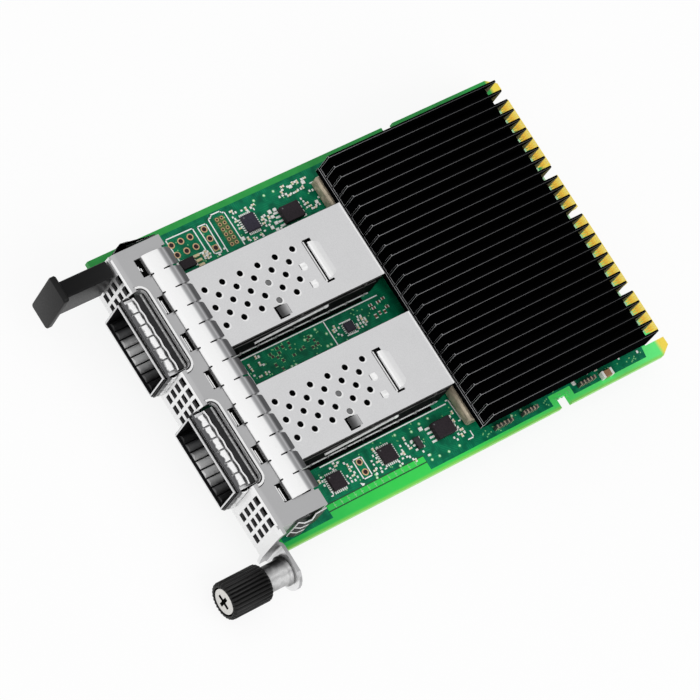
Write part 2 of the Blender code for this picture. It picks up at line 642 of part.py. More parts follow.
def build_spring_frame(name, centre, collection, cutters, materials):
    inner = CAGE_WIDTH / 2 + GAP
    low = -GAP
    high = CAGE_TOP_Z + GAP
    rear = FRONT_Y - GAP
    flare = 0.45 * MM
    bm = bmesh.new()
    shell = STRIP_SHEET
    front = [
        (centre - inner - shell, low - shell), (centre + inner + shell, low - shell),
        (centre + inner + shell, high + shell), (centre - inner - shell, high + shell),
    ]
    back = [
        (centre - inner - shell - flare, low - shell), (centre + inner + shell + flare, low - shell),
        (centre + inner + shell + flare, high + shell + flare),
        (centre - inner - shell - flare, high + shell + flare),
    ]
    ring_front = [bm.verts.new((x, FRAME_FRONT_Y, z)) for x, z in front]
    ring_back = [bm.verts.new((x, rear, z)) for x, z in back]
    bm.faces.new(ring_front)
    bm.faces.new(ring_back)
    for index in range(4):
        after = (index + 1) % 4
        bm.faces.new((ring_front[index], ring_front[after], ring_back[after], ring_back[index]))
    frame = add_object(name, finish_mesh(name, bm), collection, materials["spring_steel"])
    inside = bmesh.new()
    near = [(centre - inner, low), (centre + inner, low), (centre + inner, high), (centre - inner, high)]
    far = [
        (centre - inner - flare, low), (centre + inner + flare, low),
        (centre + inner + flare, high + flare), (centre - inner - flare, high + flare),
    ]
    depth = rear - FRAME_FRONT_Y
    reach = 1.0 * MM
    slope = reach / depth
    ring_near = []
    ring_far = []
    for near_point, far_point in zip(near, far):
        run = (far_point[0] - near_point[0], far_point[1] - near_point[1])
        ring_near.append(inside.verts.new((near_point[0] - run[0] * slope, FRAME_FRONT_Y - reach,
                                           near_point[1] - run[1] * slope)))
        ring_far.append(inside.verts.new((far_point[0] + run[0] * slope, rear + reach,
                                          far_point[1] + run[1] * slope)))
    inside.faces.new(ring_near)
    inside.faces.new(ring_far)
    for index in range(4):
        after = (index + 1) % 4
        inside.faces.new((ring_near[index], ring_near[after], ring_far[after], ring_far[index]))
    add_cut(frame, finish_mesh(name + "_inside_cut", inside), cutters)
    slits = bmesh.new()
    pitch = (CAGE_WIDTH - 1.2 * MM) / FRAME_FINGERS
    for index in range(1, FRAME_FINGERS):
        x = centre + (index - FRAME_FINGERS / 2) * pitch
        add_block(slits, x - 0.15 * MM, x + 0.15 * MM, FRAME_FRONT_Y + 0.7 * MM, rear + 1.0 * MM,
                  high - 1.0 * MM, high + 2.0 * MM)
    for index in range(1, 3):
        z = low + index * (high - low) / 3
        for side in (-1.0, 1.0):
            x = centre + side * (inner + 0.5 * MM)
            add_block(slits, x - 0.9 * MM, x + 0.9 * MM, FRAME_FRONT_Y + 0.7 * MM, rear + 1.0 * MM,
                      z - 0.15 * MM, z + 0.15 * MM)
    add_cut(frame, finish_mesh(name + "_slits_cut", slits), cutters)


def build_ports(collection, cutters, materials):
    for number, centre in ((1, -PORT_X), (2, PORT_X)):
        prefix = "port_" + str(number)
        build_cage(prefix + "_cage", centre, collection, cutters, materials)
        build_spring_frame(prefix + "_spring_frame", centre, collection, cutters, materials)
        half = CAGE_WIDTH / 2 - 0.1 * MM
        spans = (centre - half, centre + half, FRONT_Y + GAP, FRONT_Y + 2.2 * MM,
                 CAGE_TOP_Z + GAP, CAGE_TOP_Z + 1.1 * MM)
        block_part(prefix + "_gasket", spans, collection, materials["gasket_black"], 0.15 * MM)

        floor = GAP + CAGE_WALL + GAP
        half = CAGE_WIDTH / 2 - CAGE_WALL - SOCKET_SIDE_GAP
        rear = CAGE_REAR_Y - CAGE_WALL - SOCKET_REAR_GAP
        front = rear - SOCKET_LENGTH
        bm = bmesh.new()
        add_block(bm, centre - half, centre + half, front, rear, floor, CAGE_TOP_Z - CAGE_WALL - SOCKET_TOP_GAP)
        socket = add_object(prefix + "_connector", finish_mesh(prefix + "_connector", bm), collection,
                            materials["socket_black"])
        slot = bmesh.new()
        half -= SOCKET_SLOT_MARGIN
        add_block(slot, centre - half, centre + half, front - 2.0 * MM, front + SOCKET_SLOT_DEPTH,
                  SOCKET_SLOT_Z, SOCKET_SLOT_Z + SOCKET_SLOT_HEIGHT)
        add_cut(socket, finish_mesh(prefix + "_slot_cut", slot), cutters)

        width = RIBS * RIB_PITCH
        outline = [(centre + width / 2, floor), (centre - width / 2, floor)]
        outline.append((centre - width / 2, floor + 0.3 * MM))
        for rib in range(RIBS):
            start = centre - width / 2 + rib * RIB_PITCH
            for fraction, height in ((0.14, 0.3), (0.28, 0.75), (0.5, 0.95), (0.72, 0.75), (0.86, 0.3)):
                outline.append((start + fraction * RIB_PITCH, floor + height * MM))
        outline.append((centre + width / 2, floor + 0.3 * MM))
        bm = bmesh.new()
        rib_front = CAGE_MOUTH_Y + 0.8 * MM
        add_prism(bm, outline, "XZ", rib_front, rib_front + RIB_LENGTH)
        add_object(prefix + "_floor_spring", finish_mesh(prefix + "_floor_spring", bm), collection,
                   materials["spring_steel"])


def build_pull_tab(collection, cutters, materials):
    rear = FRONT_Y - GAP
    paddle_rear = PADDLE_FRONT_Y + PADDLE_THICKNESS
    bm = bmesh.new()
    add_block(bm, TAB_LEFT_X, TAB_LEFT_X + TAB_WIDTH, PADDLE_FRONT_Y + 0.5 * PADDLE_THICKNESS, rear,
              0.0, TAB_HEIGHT)
    tab = add_object("pull_tab", finish_mesh("pull_tab", bm), collection, materials["tab_black"])
    paddle = bmesh.new()
    right = PADDLE_LEFT_X + PADDLE_WIDTH
    radius = 0.8 * MM
    outline = arc((right - radius, PADDLE_BOTTOM_Z + radius), radius, -90, 0, 3)
    outline += arc((right - radius, PADDLE_TOP_Z - radius), radius, 0, 90, 3)
    outline += arc((PADDLE_LEFT_X + radius, PADDLE_TOP_Z - radius), radius, 90, 180, 3)
    outline += arc((PADDLE_LEFT_X + radius, PADDLE_BOTTOM_Z + radius), radius, 180, 270, 3)
    add_prism(paddle, outline, "XZ", PADDLE_FRONT_Y, paddle_rear)
    add_cut(tab, finish_mesh("paddle_joined", paddle), cutters, "UNION")
    add_bevel(tab, 0.25 * MM)
    hole = bmesh.new()
    x = TAB_LEFT_X + TAB_SCREW_INSET
    add_cylinder(hole, x, rear, TAB_HEIGHT / 2, 1.0 * MM, 10.0 * MM, "Y", 14)
    add_cut(tab, finish_mesh("tab_screw_cut", hole), cutters)

    plate_hole = bmesh.new()
    add_cylinder(plate_hole, x, FRONT_Y, TAB_HEIGHT / 2, 1.1 * MM, 4.0 * MM, "Y", 14)
    add_cut(bpy.data.objects["faceplate"], finish_mesh("tab_plate_cut", plate_hole), cutters)
    inner = FRONT_Y + SHEET + GAP
    reach = 3.5 * MM
    head = 1.45 * MM
    under_head = inner - rear + reach
    end = under_head + 1.0 * MM
    profile = [(0.0, 0.0), (0.7 * MM, 0.0), (0.7 * MM, under_head), (head, under_head), (head, end), (0.0, end)]
    screw = turned_part("pull_tab_screw", profile, rear - reach, collection, materials["screw_steel"], 16)
    screw.location.x = CARD_X + x
    screw.location.z = CARD_Z + TAB_HEIGHT / 2


def build_knob(collection, cutters, materials):
    length = KNOB_REAR_Y - KNOB_FRONT_Y
    sides = KNOB_RIDGES * 2
    rings = [
        (0.0, 0.7 * MM), (0.45 * MM, 0.0), (length - 0.4 * MM, 0.0), (length, 0.45 * MM),
    ]
    bm = bmesh.new()
    loops = []
    for depth, inset in rings:
        loop = []
        for side in range(sides):
            ridge = 0.0 if side % 2 else KNOB_RIDGE_DEPTH
            radius = KNOB_RADIUS - inset - ridge
            angle = 2 * math.pi * side / sides
            loop.append(bm.verts.new((radius * math.cos(angle), radius * math.sin(angle), -depth)))
        loops.append(loop)
    bm.faces.new(loops[0])
    bm.faces.new(loops[-1])
    for first, second in zip(loops, loops[1:]):
        for side in range(sides):
            after = (side + 1) % sides
            bm.faces.new((first[side], first[after], second[after], second[side]))
    mesh = finish_mesh("thumbscrew_knob", bm)
    knob = bpy.data.objects.new("thumbscrew_knob", mesh)
    collection.objects.link(knob)
    mesh.materials.append(materials["tab_black"])
    knob.location = (CARD_X + THUMB_X, CARD_Y + KNOB_FRONT_Y, CARD_Z + THUMB_Z)
    knob.rotation_euler = (math.radians(90), 0.0, 0.0)
    bores = bmesh.new()
    recess = 2.0 * MM
    spring_depth = 7.4 * MM
    for radius, start, end in (
        (HEAD_RADIUS + GAP, -1.0 * MM, recess),
        (FERRULE_RADIUS + GAP, length - spring_depth, length + 1.0 * MM),
    ):
        rod = bmesh.ops.create_cone(
            bores, cap_ends=True, segments=32, radius1=radius, radius2=radius, depth=end - start
        )["verts"]
        for vertex in rod:
            vertex.co.z -= (start + end) / 2
    bore = finish_mesh("knob_bores_cut", bores)
    modifier = add_cut(knob, bore, cutters)
    modifier.object.rotation_euler = knob.rotation_euler
    shank = bmesh.new()
    rod = bmesh.ops.create_cone(
        shank, cap_ends=True, segments=20, radius1=SHANK_RADIUS + GAP, radius2=SHANK_RADIUS + GAP,
        depth=3 * length
    )["verts"]
    modifier = add_cut(knob, finish_mesh("knob_shank_cut", shank), cutters)
    modifier.object.rotation_euler = knob.rotation_euler


def build_thumbscrew(collection, cutters, materials):
    build_knob(collection, cutters, materials)
    head_front = KNOB_FRONT_Y + 0.1 * MM
    head_length = 1.6 * MM
    thread_start = KNOB_REAR_Y - FERRULE_INSERTION + 1.9 * MM - head_front
    tip = EAR_FRONT_Y + SHEET + 1.1 * MM - head_front
    profile = [
        (0.0, 0.0), (HEAD_RADIUS - 0.2 * MM, 0.0), (HEAD_RADIUS, 0.25 * MM), (HEAD_RADIUS, head_length),
        (SHANK_RADIUS, head_length), (SHANK_RADIUS, thread_start), (THREAD_RADIUS, thread_start + 0.3 * MM),
        (THREAD_RADIUS, tip - 0.8 * MM), (0.8 * MM, tip), (0.0, tip),
    ]
    screw = turned_part("thumbscrew_screw", profile, head_front, collection, materials["screw_steel"], 24)
    recess = bmesh.new()
    arm = 1.7 * MM
    for wide, tall in ((arm, 0.35 * MM), (0.35 * MM, arm)):
        corners = bmesh.ops.create_cube(recess, size=1.0)["verts"]
        for corner in corners:
            bottom = corner.co.z < 0
            shrink = 0.45 if bottom else 1.0
            corner.co.x = math.copysign(wide * shrink if wide > tall else wide, corner.co.x)
            corner.co.y = math.copysign(tall * shrink if tall > wide else tall, corner.co.y)
            corner.co.z = -1.3 * MM if bottom else 0.4 * MM
    recess_mesh = finish_mesh("cross_recess_cut", recess)
    modifier = add_cut(screw, recess_mesh, cutters)
    modifier.use_self = True
    modifier.object.rotation_euler = screw.rotation_euler

    front = KNOB_REAR_Y - FERRULE_INSERTION
    ear_front = EAR_FRONT_Y - GAP - front
    ear_rear = EAR_FRONT_Y + SHEET + GAP - front
    bore = THREAD_RADIUS + 0.4 * MM
    neck = 2.3 * MM
    profile = [
        (SHANK_RADIUS + 0.25 * MM, 0.0), (FERRULE_RADIUS - 0.2 * MM, 0.0), (FERRULE_RADIUS, 0.3 * MM),
        (FERRULE_RADIUS, ear_front - 0.9 * MM), (FERRULE_RADIUS + 0.5 * MM, ear_front - 0.6 * MM),
        (FERRULE_RADIUS + 0.5 * MM, ear_front), (neck, ear_front), (neck, ear_rear),
        (neck + 0.7 * MM, ear_rear), (neck + 0.5 * MM, ear_rear + 0.5 * MM), (bore, ear_rear + 0.5 * MM),
        (bore, 1.1 * MM), (SHANK_RADIUS + 0.25 * MM, 1.1 * MM),
    ]
    turned_part("thumbscrew_ferrule", profile, front, collection, materials["screw_steel"])

    washer_front = KNOB_REAR_Y - 7.4 * MM + GAP
    profile = [
        (SHANK_RADIUS + GAP, 0.0), (FERRULE_RADIUS - 0.2 * MM, 0.0), (FERRULE_RADIUS - 0.2 * MM, 0.5 * MM),
        (SHANK_RADIUS + GAP, 0.5 * MM),
    ]
    turned_part("thumbscrew_washer", profile, washer_front, collection, materials["screw_steel"], 24)


def build_flat_screws(collection, cutters, materials):
    places = [("heat_sink_screw_" + str(index + 1), x, y, 1.0 * MM, 2.7 * MM)
              for index, (x, y) in enumerate(sink_posts())]
    for side, x in zip(("left", "right"), foot_centres()):
        places.append(("bracket_screw_" + side, x, FOOT_Y, 1.0 * MM, WALL_BOTTOM_Z + SHEET))
    for name, x, y, radius, reach in places:
        head_top = -BOARD_THICKNESS - GAP
        head = 1.2 * MM
        profile = [(0.0, reach), (radius, reach), (radius, head_top), (2.2 * MM, head_top),
                   (2.2 * MM, head_top - 0.8 * head), (1.8 * MM, head_top - head), (0.0, head_top - head)]
        mesh = bpy.data.meshes.new(name)
        points = [(r, 0.0, z) for r, z in profile]
        mesh.from_pydata(points, [(index, index + 1) for index in range(len(points) - 1)], [])
        obj = add_object(name, mesh, collection, materials["screw_steel"])
        obj.location = (CARD_X + x, CARD_Y + y, CARD_Z)
        screw = obj.modifiers.new("turn", "SCREW")
        screw.steps = 16
        screw.render_steps = 16
        screw.use_merge_vertices = True
        screw.merge_threshold = 0.00001
        recess = bmesh.new()
        bmesh.ops.create_cone(recess, cap_ends=True, segments=6, radius1=0.9 * MM, radius2=0.9 * MM,
                              depth=1.4 * MM)
        for vertex in recess.verts:
            vertex.co.z += head_top - head
        add_cut(obj, finish_mesh(name + "_recess_cut", recess), cutters)


def strip_x(side, share):
    # a place in the bare strip of board between the cage and the board's edge
    inner = PORT_X + CAGE_WIDTH / 2
    return side * (inner + share * (BOARD_WIDTH / 2 - inner))


def build_board_parts(collection, materials):
    # name, x, y and the width, depth and height in millimetres
    chips = (
        ("chip_left_quad", strip_x(-1, 0.505), -18.3, 4.0, 4.0, 0.9),
        ("chip_left_memory", strip_x(-1, 0.336), -8.2, 4.0, 5.0, 1.6),
        ("chip_left_small", strip_x(-1, 0.293), -37.0, 3.0, 5.0, 0.9),
        ("chip_middle", 0.0, -10.4, 3.2, 3.2, 0.9),
        ("chip_right_quad_front", strip_x(1, 0.364), -33.9, 4.6, 4.6, 0.9),
        ("chip_right_quad_rear", strip_x(1, 0.42), -19.6, 4.6, 4.6, 0.9),
        ("chip_right_small", strip_x(1, 0.456), -12.0, 1.7, 2.9, 1.1),
        ("chip_right_memory", strip_x(1, 0.435), -5.2, 4.0, 5.0, 1.6),
    )
    for name, x, y, wide, deep, tall in chips:
        spans = (x - wide / 2 * MM, x + wide / 2 * MM, (y - deep / 2) * MM, (y + deep / 2) * MM,
                 GAP, GAP + tall * MM)
        block_part(name, spans, collection, materials["chip_black"], 0.12 * MM)
    for name, x in (("crystal_left", strip_x(-1, 0.322)), ("crystal_right", strip_x(1, 0.244))):
        spans = (x - 4.6 * MM, x + 4.6 * MM, SINK_FRONT_Y - 1.0 * MM, SINK_FRONT_Y + 3.0 * MM, GAP, 3.6 * MM)
        crystal = block_part(name, spans, collection, materials["crystal_metal"])
        add_bevel(crystal, 0.5 * MM, 2)
    beside_sink = SINK_CENTRE_X + sink_half_width() + 1.0 * MM
    passives = (
        ("resistor_pack_front", beside_sink, 8.6, 1.2, 5.2, 2.0, "inductor_grey"),
        ("resistor_pack_middle", beside_sink, 16.2, 1.2, 4.6, 2.0, "inductor_grey"),
        ("resistor_pack_rear", beside_sink, 33.0, 1.2, 5.0, 2.0, "inductor_grey"),
        ("capacitor_rear", beside_sink + GAP, 38.6, 1.7, 3.0, 1.3, "capacitor_tan"),
        ("underside_capacitor_1", -12.0 * MM, 14.0, 3.2, 1.8, -1.4, "capacitor_tan"),
        ("underside_capacitor_2", 12.0 * MM, 14.0, 3.2, 1.8, -1.4, "capacitor_tan"),
        ("underside_capacitor_3", 0.0, 36.0, 3.2, 1.8, -1.4, "capacitor_tan"),
        ("underside_chip", 0.0, -22.0, 6.0, 5.0, -1.1, "chip_black"),
    )
    for name, x, y, wide, deep, tall, material in passives:
        if tall > 0:
            low, high = GAP, GAP + tall * MM
        else:
            high = -BOARD_THICKNESS - GAP
            low = high + tall * MM
        spans = (x - wide / 2 * MM, x + wide / 2 * MM, (y - deep / 2) * MM, (y + deep / 2) * MM, low, high)
        block_part(name, spans, collection, materials[material], 0.1 * MM)


def main():
    for obj in list(bpy.data.objects):
        bpy.data.objects.remove(obj)
    scene = bpy.context.scene
    collection = bpy.data.collections.new("mezzanine_network_card")
    scene.collection.children.link(collection)
    cutters = bpy.data.collections.new("cutters")
    scene.collection.children.link(cutters)
    cutters.hide_render = True
    materials = {name: make_material(name) for name in COLORS}
    build_board(collection, cutters, materials)
    build_heat_sink(collection, cutters, materials)
    build_chip(collection, materials)
    build_faceplate(collection, cutters, materials)
    build_finger_strip(collection, cutters, materials)
    build_side_springs(collection, cutters, materials)
    build_ports(collection, cutters, materials)
    build_pull_tab(collection, cutters, materials)
    build_thumbscrew(collection, cutters, materials)
    build_flat_screws(collection, cutters, materials)
    build_board_parts(collection, materials)


main()
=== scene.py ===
import json
import math
import random

import bmesh
import bpy
from mathutils import Matrix, Quaternion, Vector


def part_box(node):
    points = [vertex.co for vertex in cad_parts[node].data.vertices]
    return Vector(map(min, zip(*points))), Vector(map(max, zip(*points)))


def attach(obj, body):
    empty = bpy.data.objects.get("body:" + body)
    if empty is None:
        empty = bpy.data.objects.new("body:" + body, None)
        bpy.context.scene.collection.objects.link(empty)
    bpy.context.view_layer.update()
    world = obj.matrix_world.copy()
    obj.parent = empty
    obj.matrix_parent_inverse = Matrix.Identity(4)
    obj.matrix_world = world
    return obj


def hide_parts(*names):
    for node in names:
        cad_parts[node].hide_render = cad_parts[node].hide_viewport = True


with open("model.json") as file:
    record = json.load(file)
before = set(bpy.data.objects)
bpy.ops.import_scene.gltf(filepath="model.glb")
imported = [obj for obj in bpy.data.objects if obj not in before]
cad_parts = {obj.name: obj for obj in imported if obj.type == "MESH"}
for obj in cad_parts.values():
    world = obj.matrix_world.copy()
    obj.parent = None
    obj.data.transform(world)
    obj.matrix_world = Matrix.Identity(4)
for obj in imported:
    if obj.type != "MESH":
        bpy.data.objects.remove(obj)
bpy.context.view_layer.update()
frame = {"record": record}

mm = 0.001
portX = 14.4            # each port's middle, left and right of the card's
boardLow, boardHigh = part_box("circuit_board")
# card millimetres: x across, y towards the contacts, z up from the board's top face
cardOrigin = Vector(((boardLow[0] + boardHigh[0]) / 2, (boardLow[1] + boardHigh[1]) / 2, boardHigh[2]))
cardPlace = Matrix.Translation(cardOrigin) @ Matrix.Scale(mm, 4)
boardThick = (boardHigh[2] - boardLow[2]) / mm
halfBoard = (boardHigh[0] - boardLow[0]) / 2 / mm
rearBoard = (boardHigh[1] - boardLow[1]) / 2 / mm


def nodeBox(node):
    # a node's box in card millimetres
    low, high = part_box(node)
    return [(low[i] - cardOrigin[i]) / mm for i in range(3)], [(high[i] - cardOrigin[i]) / mm for i in range(3)]


def tone(red, green=None, blue=None):
    # screen colour 0-255, or one grey value, to the linear colour that the shaders take
    def one(value):
        value /= 255
        return value / 12.92 if value <= 0.04045 else ((value + 0.055) / 1.055) ** 2.4
    if green is None:
        green = blue = red
    return (one(red), one(green), one(blue), 1.0)


def shade(colour, factor):
    return tuple(min(1.0, channel * factor) for channel in colour[:3]) + (1.0,)


# finishes

noiseLow, noiseHigh = 0.3, 0.7      # the range that a noise's values mostly keep to


class Recipe:
    # a small helper that lays out one procedural material

    def __init__(self, name):
        self.material = bpy.data.materials.new(name)
        self.material.use_nodes = True
        self.tree = self.material.node_tree
        self.shader = self.tree.nodes["Principled BSDF"]
        self.column = -300
        coords = self.add("ShaderNodeTexCoord")
        centre = self.add("ShaderNodeMapping")
        centre.inputs["Scale"].default_value = (1 / mm, 1 / mm, 1 / mm)
        centre.inputs["Location"].default_value = tuple(-value / mm for value in cardOrigin)
        self.join(coords.outputs["Object"], centre.inputs["Vector"])
        self.place = centre.outputs["Vector"]

    def add(self, kind, **settings):
        node = self.tree.nodes.new(kind)
        node.location = (self.column, 0)
        self.column -= 190
        for key, value in settings.items():
            setattr(node, key, value)
        return node

    def join(self, out, into):
        self.tree.links.new(out, into)
        return out

    def stretched(self, scale):
        node = self.add("ShaderNodeMapping")
        node.inputs["Scale"].default_value = scale
        self.join(self.place, node.inputs["Vector"])
        return node.outputs["Vector"]

    def noise(self, scale, detail=2.0, vector=None):
        node = self.add("ShaderNodeTexNoise")
        node.inputs["Scale"].default_value = scale
        node.inputs["Detail"].default_value = detail
        self.join(vector or self.place, node.inputs["Vector"])
        return node.outputs["Fac"]

    def ramp(self, factor, stops):
        node = self.add("ShaderNodeValToRGB")
        points = node.color_ramp.elements
        while len(points) < len(stops):
            points.new(0.5)
        for point, (position, colour) in zip(points, stops):
            point.position = position
            point.color = colour if len(colour) == 4 else (*colour, 1.0)
        self.join(factor, node.inputs["Fac"])
        return node.outputs["Color"]

    def spread(self, factor, low, high, newLow, newHigh):
        node = self.add("ShaderNodeMapRange")
        for label, value in (("From Min", low), ("From Max", high), ("To Min", newLow), ("To Max", newHigh)):
            node.inputs[label].default_value = value
        self.join(factor, node.inputs["Value"])
        return node.outputs["Result"]

    def fromNoise(self, noise, newLow, newHigh):
        return self.spread(noise, noiseLow, noiseHigh, newLow, newHigh)

    def speckled(self, body, fine, speck):
        grain = self.ramp(fine, ((noiseLow, (1 - 2 * speck,) * 3), (noiseHigh, (1.0,) * 3)))
        return self.mix(1.0, body, grain, "MULTIPLY")

    def axis(self, letter):
        node = self.add("ShaderNodeSeparateXYZ")
        self.join(self.place, node.inputs["Vector"])
        return node.outputs[letter]

    def math(self, operation, first, second=None):
        node = self.add("ShaderNodeMath", operation=operation)
        for socket, value in zip(node.inputs, (first, second)):
            if value is None:
                continue
            if isinstance(value, (int, float)):
                socket.default_value = value
            else:
                self.join(value, socket)
        return node.outputs["Value"]

    def mix(self, factor, first, second, blend="MIX"):
        node = self.add("ShaderNodeMix", data_type="RGBA", blend_type=blend)
        slots = [s for s in node.inputs if s.enabled]
        for socket, value in zip(slots, (factor, first, second)):
            if isinstance(value, (int, float, tuple)):
                socket.default_value = value
            else:
                self.join(value, socket)
        return [s for s in node.outputs if s.enabled][0]

    def bump(self, height, strength, distance=0.05):
        node = self.add("ShaderNodeBump")
        node.inputs["Strength"].default_value = strength
        node.inputs["Distance"].default_value = distance * mm
        self.join(height, node.inputs["Height"])
        self.join(node.outputs["Normal"], self.shader.inputs["Normal"])

    def finish(self, colour, rough, metallic=0.0, specular=0.5):
        self.join(colour, self.shader.inputs["Base Color"])
        if isinstance(rough, (int, float)):
            self.shader.inputs["Roughness"].default_value = rough
        else:
            self.join(rough, self.shader.inputs["Roughness"])
        self.shader.inputs["Metallic"].default_value = metallic
        self.shader.inputs["Specular IOR Level"].default_value = specular
        return self.material


def plainFinish(name, colour, rough, metallic=0.0, drift=0.06, speck=0.05, grain=5.0, bump=0.1, specular=0.5,
                stretch=(1, 1, 1)):
    # colour drifts slowly and is speckled by a fine grain, which also feeds roughness and bump
    recipe = Recipe(name)
    vector = recipe.stretched(stretch)
    broad = recipe.noise(0.12, 2.0, vector)
    fine = recipe.noise(grain, 2.0, vector)
    body = recipe.ramp(broad, ((noiseLow, shade(colour, 1 - drift)), (noiseHigh, shade(colour, 1 + drift))))
    body = recipe.speckled(body, fine, speck)
    roughness = recipe.fromNoise(fine, max(0.02, rough * 0.85), min(1.0, rough * 1.15))
    recipe.bump(fine, bump, 0.01)
    return recipe.finish(body, roughness, metallic, specular)


def bandedFinish(name, stops, rough, metallic, wobble=0.0, axis="Y", fold=0.0, speck=0.05, wobbleGrain=0.9):
    # a finish whose tone changes along the card; fold mirrors it round each port's middle
    # stops are (place in card millimetres, red and green, blue)
    recipe = Recipe(name)
    along = recipe.axis(axis)
    if fold:
        along = recipe.math("ABSOLUTE", recipe.math("SUBTRACT", recipe.math("ABSOLUTE", along), fold))
    if wobble:
        ragged = recipe.fromNoise(recipe.noise(wobbleGrain, 3.0), -wobble, wobble)
        along = recipe.math("ADD", along, ragged)
    low, high = stops[0][0], stops[-1][0]
    body = recipe.ramp(recipe.spread(along, low, high, 0.0, 1.0),
                       [((place - low) / (high - low), tone(grey, grey, blue)) for place, grey, blue in stops])
    fine = recipe.noise(6.0)
    body = recipe.speckled(body, fine, speck)
    recipe.bump(fine, 0.1, 0.01)
    return recipe.finish(body, recipe.fromNoise(fine, rough * 0.85, rough * 1.15), metallic)


def laminateFinish():
    # glass laminate under clear green mask: the right band brightens to the rear and yellows at its edge
    recipe = Recipe("laminate_green")
    across = recipe.axis("X")
    along = recipe.axis("Y")
    cloudy = recipe.noise(0.35, 3.0)
    weave = recipe.noise(9.0, 1.0)
    frontRear = recipe.spread(along, -58.0, 58.0, 0.0, 1.0)
    rightBand = recipe.ramp(frontRear, ((0.0, tone(22, 184, 80)), (0.3, tone(44, 214, 78)),
                                        (0.6, tone(62, 226, 92)), (1.0, tone(106, 252, 136))))
    leftBand = recipe.ramp(frontRear, ((0.0, tone(22, 146, 58)), (1.0, tone(34, 156, 70))))
    body = recipe.mix(recipe.spread(across, -1.0, 1.0, 0.0, 1.0), leftBand, rightBand)
    body = recipe.mix(recipe.fromNoise(cloudy, 0.0, 0.16), body, tone(84, 222, 104))
    edge = recipe.spread(across, halfBoard - 0.75, halfBoard - 0.1, 0.0, 0.85)
    body = recipe.mix(edge, body, tone(146, 222, 92))
    tip = recipe.spread(along, rearBoard - 2.9, rearBoard - 1.9, 0.0, 1.0)
    body = recipe.mix(tip, body, tone(253, 226, 84))
    recipe.bump(weave, 0.12, 0.02)
    return recipe.finish(body, recipe.fromNoise(weave, 0.35, 0.45), 0.0, 0.3)


def maskFinish():
    # dark green mask with faint copper runs showing through
    recipe = Recipe("solder_mask_teal")
    cells = recipe.add("ShaderNodeTexVoronoi", feature="F1", distance="CHEBYCHEV")
    cells.inputs["Scale"].default_value = 0.34
    recipe.join(recipe.place, cells.inputs["Vector"])
    which = recipe.add("ShaderNodeSeparateColor")
    recipe.join(cells.outputs["Color"], which.inputs["Color"])
    runs = []
    for turn in (0.0, math.radians(90), math.radians(45)):
        turned = recipe.add("ShaderNodeMapping")
        turned.inputs["Rotation"].default_value = (0.0, 0.0, turn)
        recipe.join(recipe.place, turned.inputs["Vector"])
        wave = recipe.add("ShaderNodeTexWave", wave_type="BANDS", bands_direction="X", wave_profile="SIN")
        wave.inputs["Scale"].default_value = 0.62
        wave.inputs["Distortion"].default_value = 0.0
        recipe.join(turned.outputs["Vector"], wave.inputs["Vector"])
        runs.append(recipe.spread(wave.outputs["Fac"], 0.55, 0.75, 0.0, 1.0))
    first = recipe.mix(recipe.math("GREATER_THAN", which.outputs[0], 0.45), runs[0], runs[1])
    second = recipe.mix(recipe.math("GREATER_THAN", which.outputs[1], 0.72), first, runs[2])
    flood = recipe.spread(recipe.noise(0.22, 2.0), 0.5, 0.56, 0.0, 1.0)
    lines = recipe.math("MULTIPLY", second, recipe.spread(recipe.noise(0.5, 1.0), 0.42, 0.6, 0.0, 1.0))
    body = recipe.ramp(recipe.noise(0.5, 4.0), ((0.3, tone(0, 94, 66)), (0.7, tone(0, 122, 84))))
    body = recipe.mix(recipe.math("MULTIPLY", flood, 0.35), body, tone(0, 138, 92))
    body = recipe.mix(recipe.math("MULTIPLY", lines, 0.45), body, tone(30, 148, 100))
    height = recipe.math("ADD", recipe.math("MULTIPLY", lines, 0.6), recipe.math("MULTIPLY", recipe.noise(14.0), 0.3))
    recipe.bump(height, 0.2, 0.03)
    return recipe.finish(body, recipe.fromNoise(recipe.noise(3.0), 0.4, 0.55), 0.0, 0.12)


def goldFinish():
    # edge contacts: pale ends, deeper orange in the middle where the plating is thick
    recipe = Recipe("contact_gold")
    along = recipe.spread(recipe.axis("Y"), rearBoard - 4.2, rearBoard, 0.0, 1.0)
    colour = recipe.ramp(along, ((0.0, tone(255, 250, 170)), (0.25, tone(255, 222, 84)), (0.5, tone(246, 184, 44)),
                                 (0.75, tone(255, 226, 90)), (1.0, tone(255, 248, 160))))
    fine = recipe.noise(10.0)
    colour = recipe.mix(recipe.spread(fine, 0.4, 0.7, 0.0, 0.3), colour, tone(206, 140, 30))
    recipe.bump(fine, 0.15, 0.02)
    return recipe.finish(colour, recipe.fromNoise(fine, 0.22, 0.38), 0.3)


# tone bands along the card that paint light onto surfaces: highlights, reflections and shade
bands = {
    "finEdge": ((0.6, 176, 178), (2.2, 150, 152), (10.0, 122, 124), (28.0, 92, 94), (50.0, 56, 58)),
    "ferrule": ((38.0, 10, 11), (39.7, 20, 21), (40.2, 100, 101), (41.0, 168, 168), (41.9, 216, 216), (42.6, 176, 176),
                (43.5, 222, 222), (44.7, 140, 140)),
    "louvre": ((-14.4, 255, 255), (-13.0, 255, 255), (-11.3, 240, 241)),
    "lance": ((-29.5, 30, 31), (-28.7, 44, 45), (-28.0, 100, 101), (-27.3, 150, 151), (-26.7, 186, 187)),
    "strip": ((-52.3, 250, 250), (-48.05, 252, 252), (-47.6, 206, 208), (-47.2, 176, 178), (-46.8, 176, 178),
              (-46.35, 212, 214), (-46.0, 160, 162), (-45.6, 100, 102), (-43.9, 96, 98)),
    "collar": ((-61.6, 40, 42), (-60.9, 92, 94), (-60.2, 84, 86), (-59.95, 250, 250), (-58.9, 250, 250),
               (-58.6, 60, 62)),
    "ribs": ((0.0, 232, 232), (2.2, 222, 222), (4.4, 112, 113), (7.2, 38, 39), (9.5, 22, 23)),
}
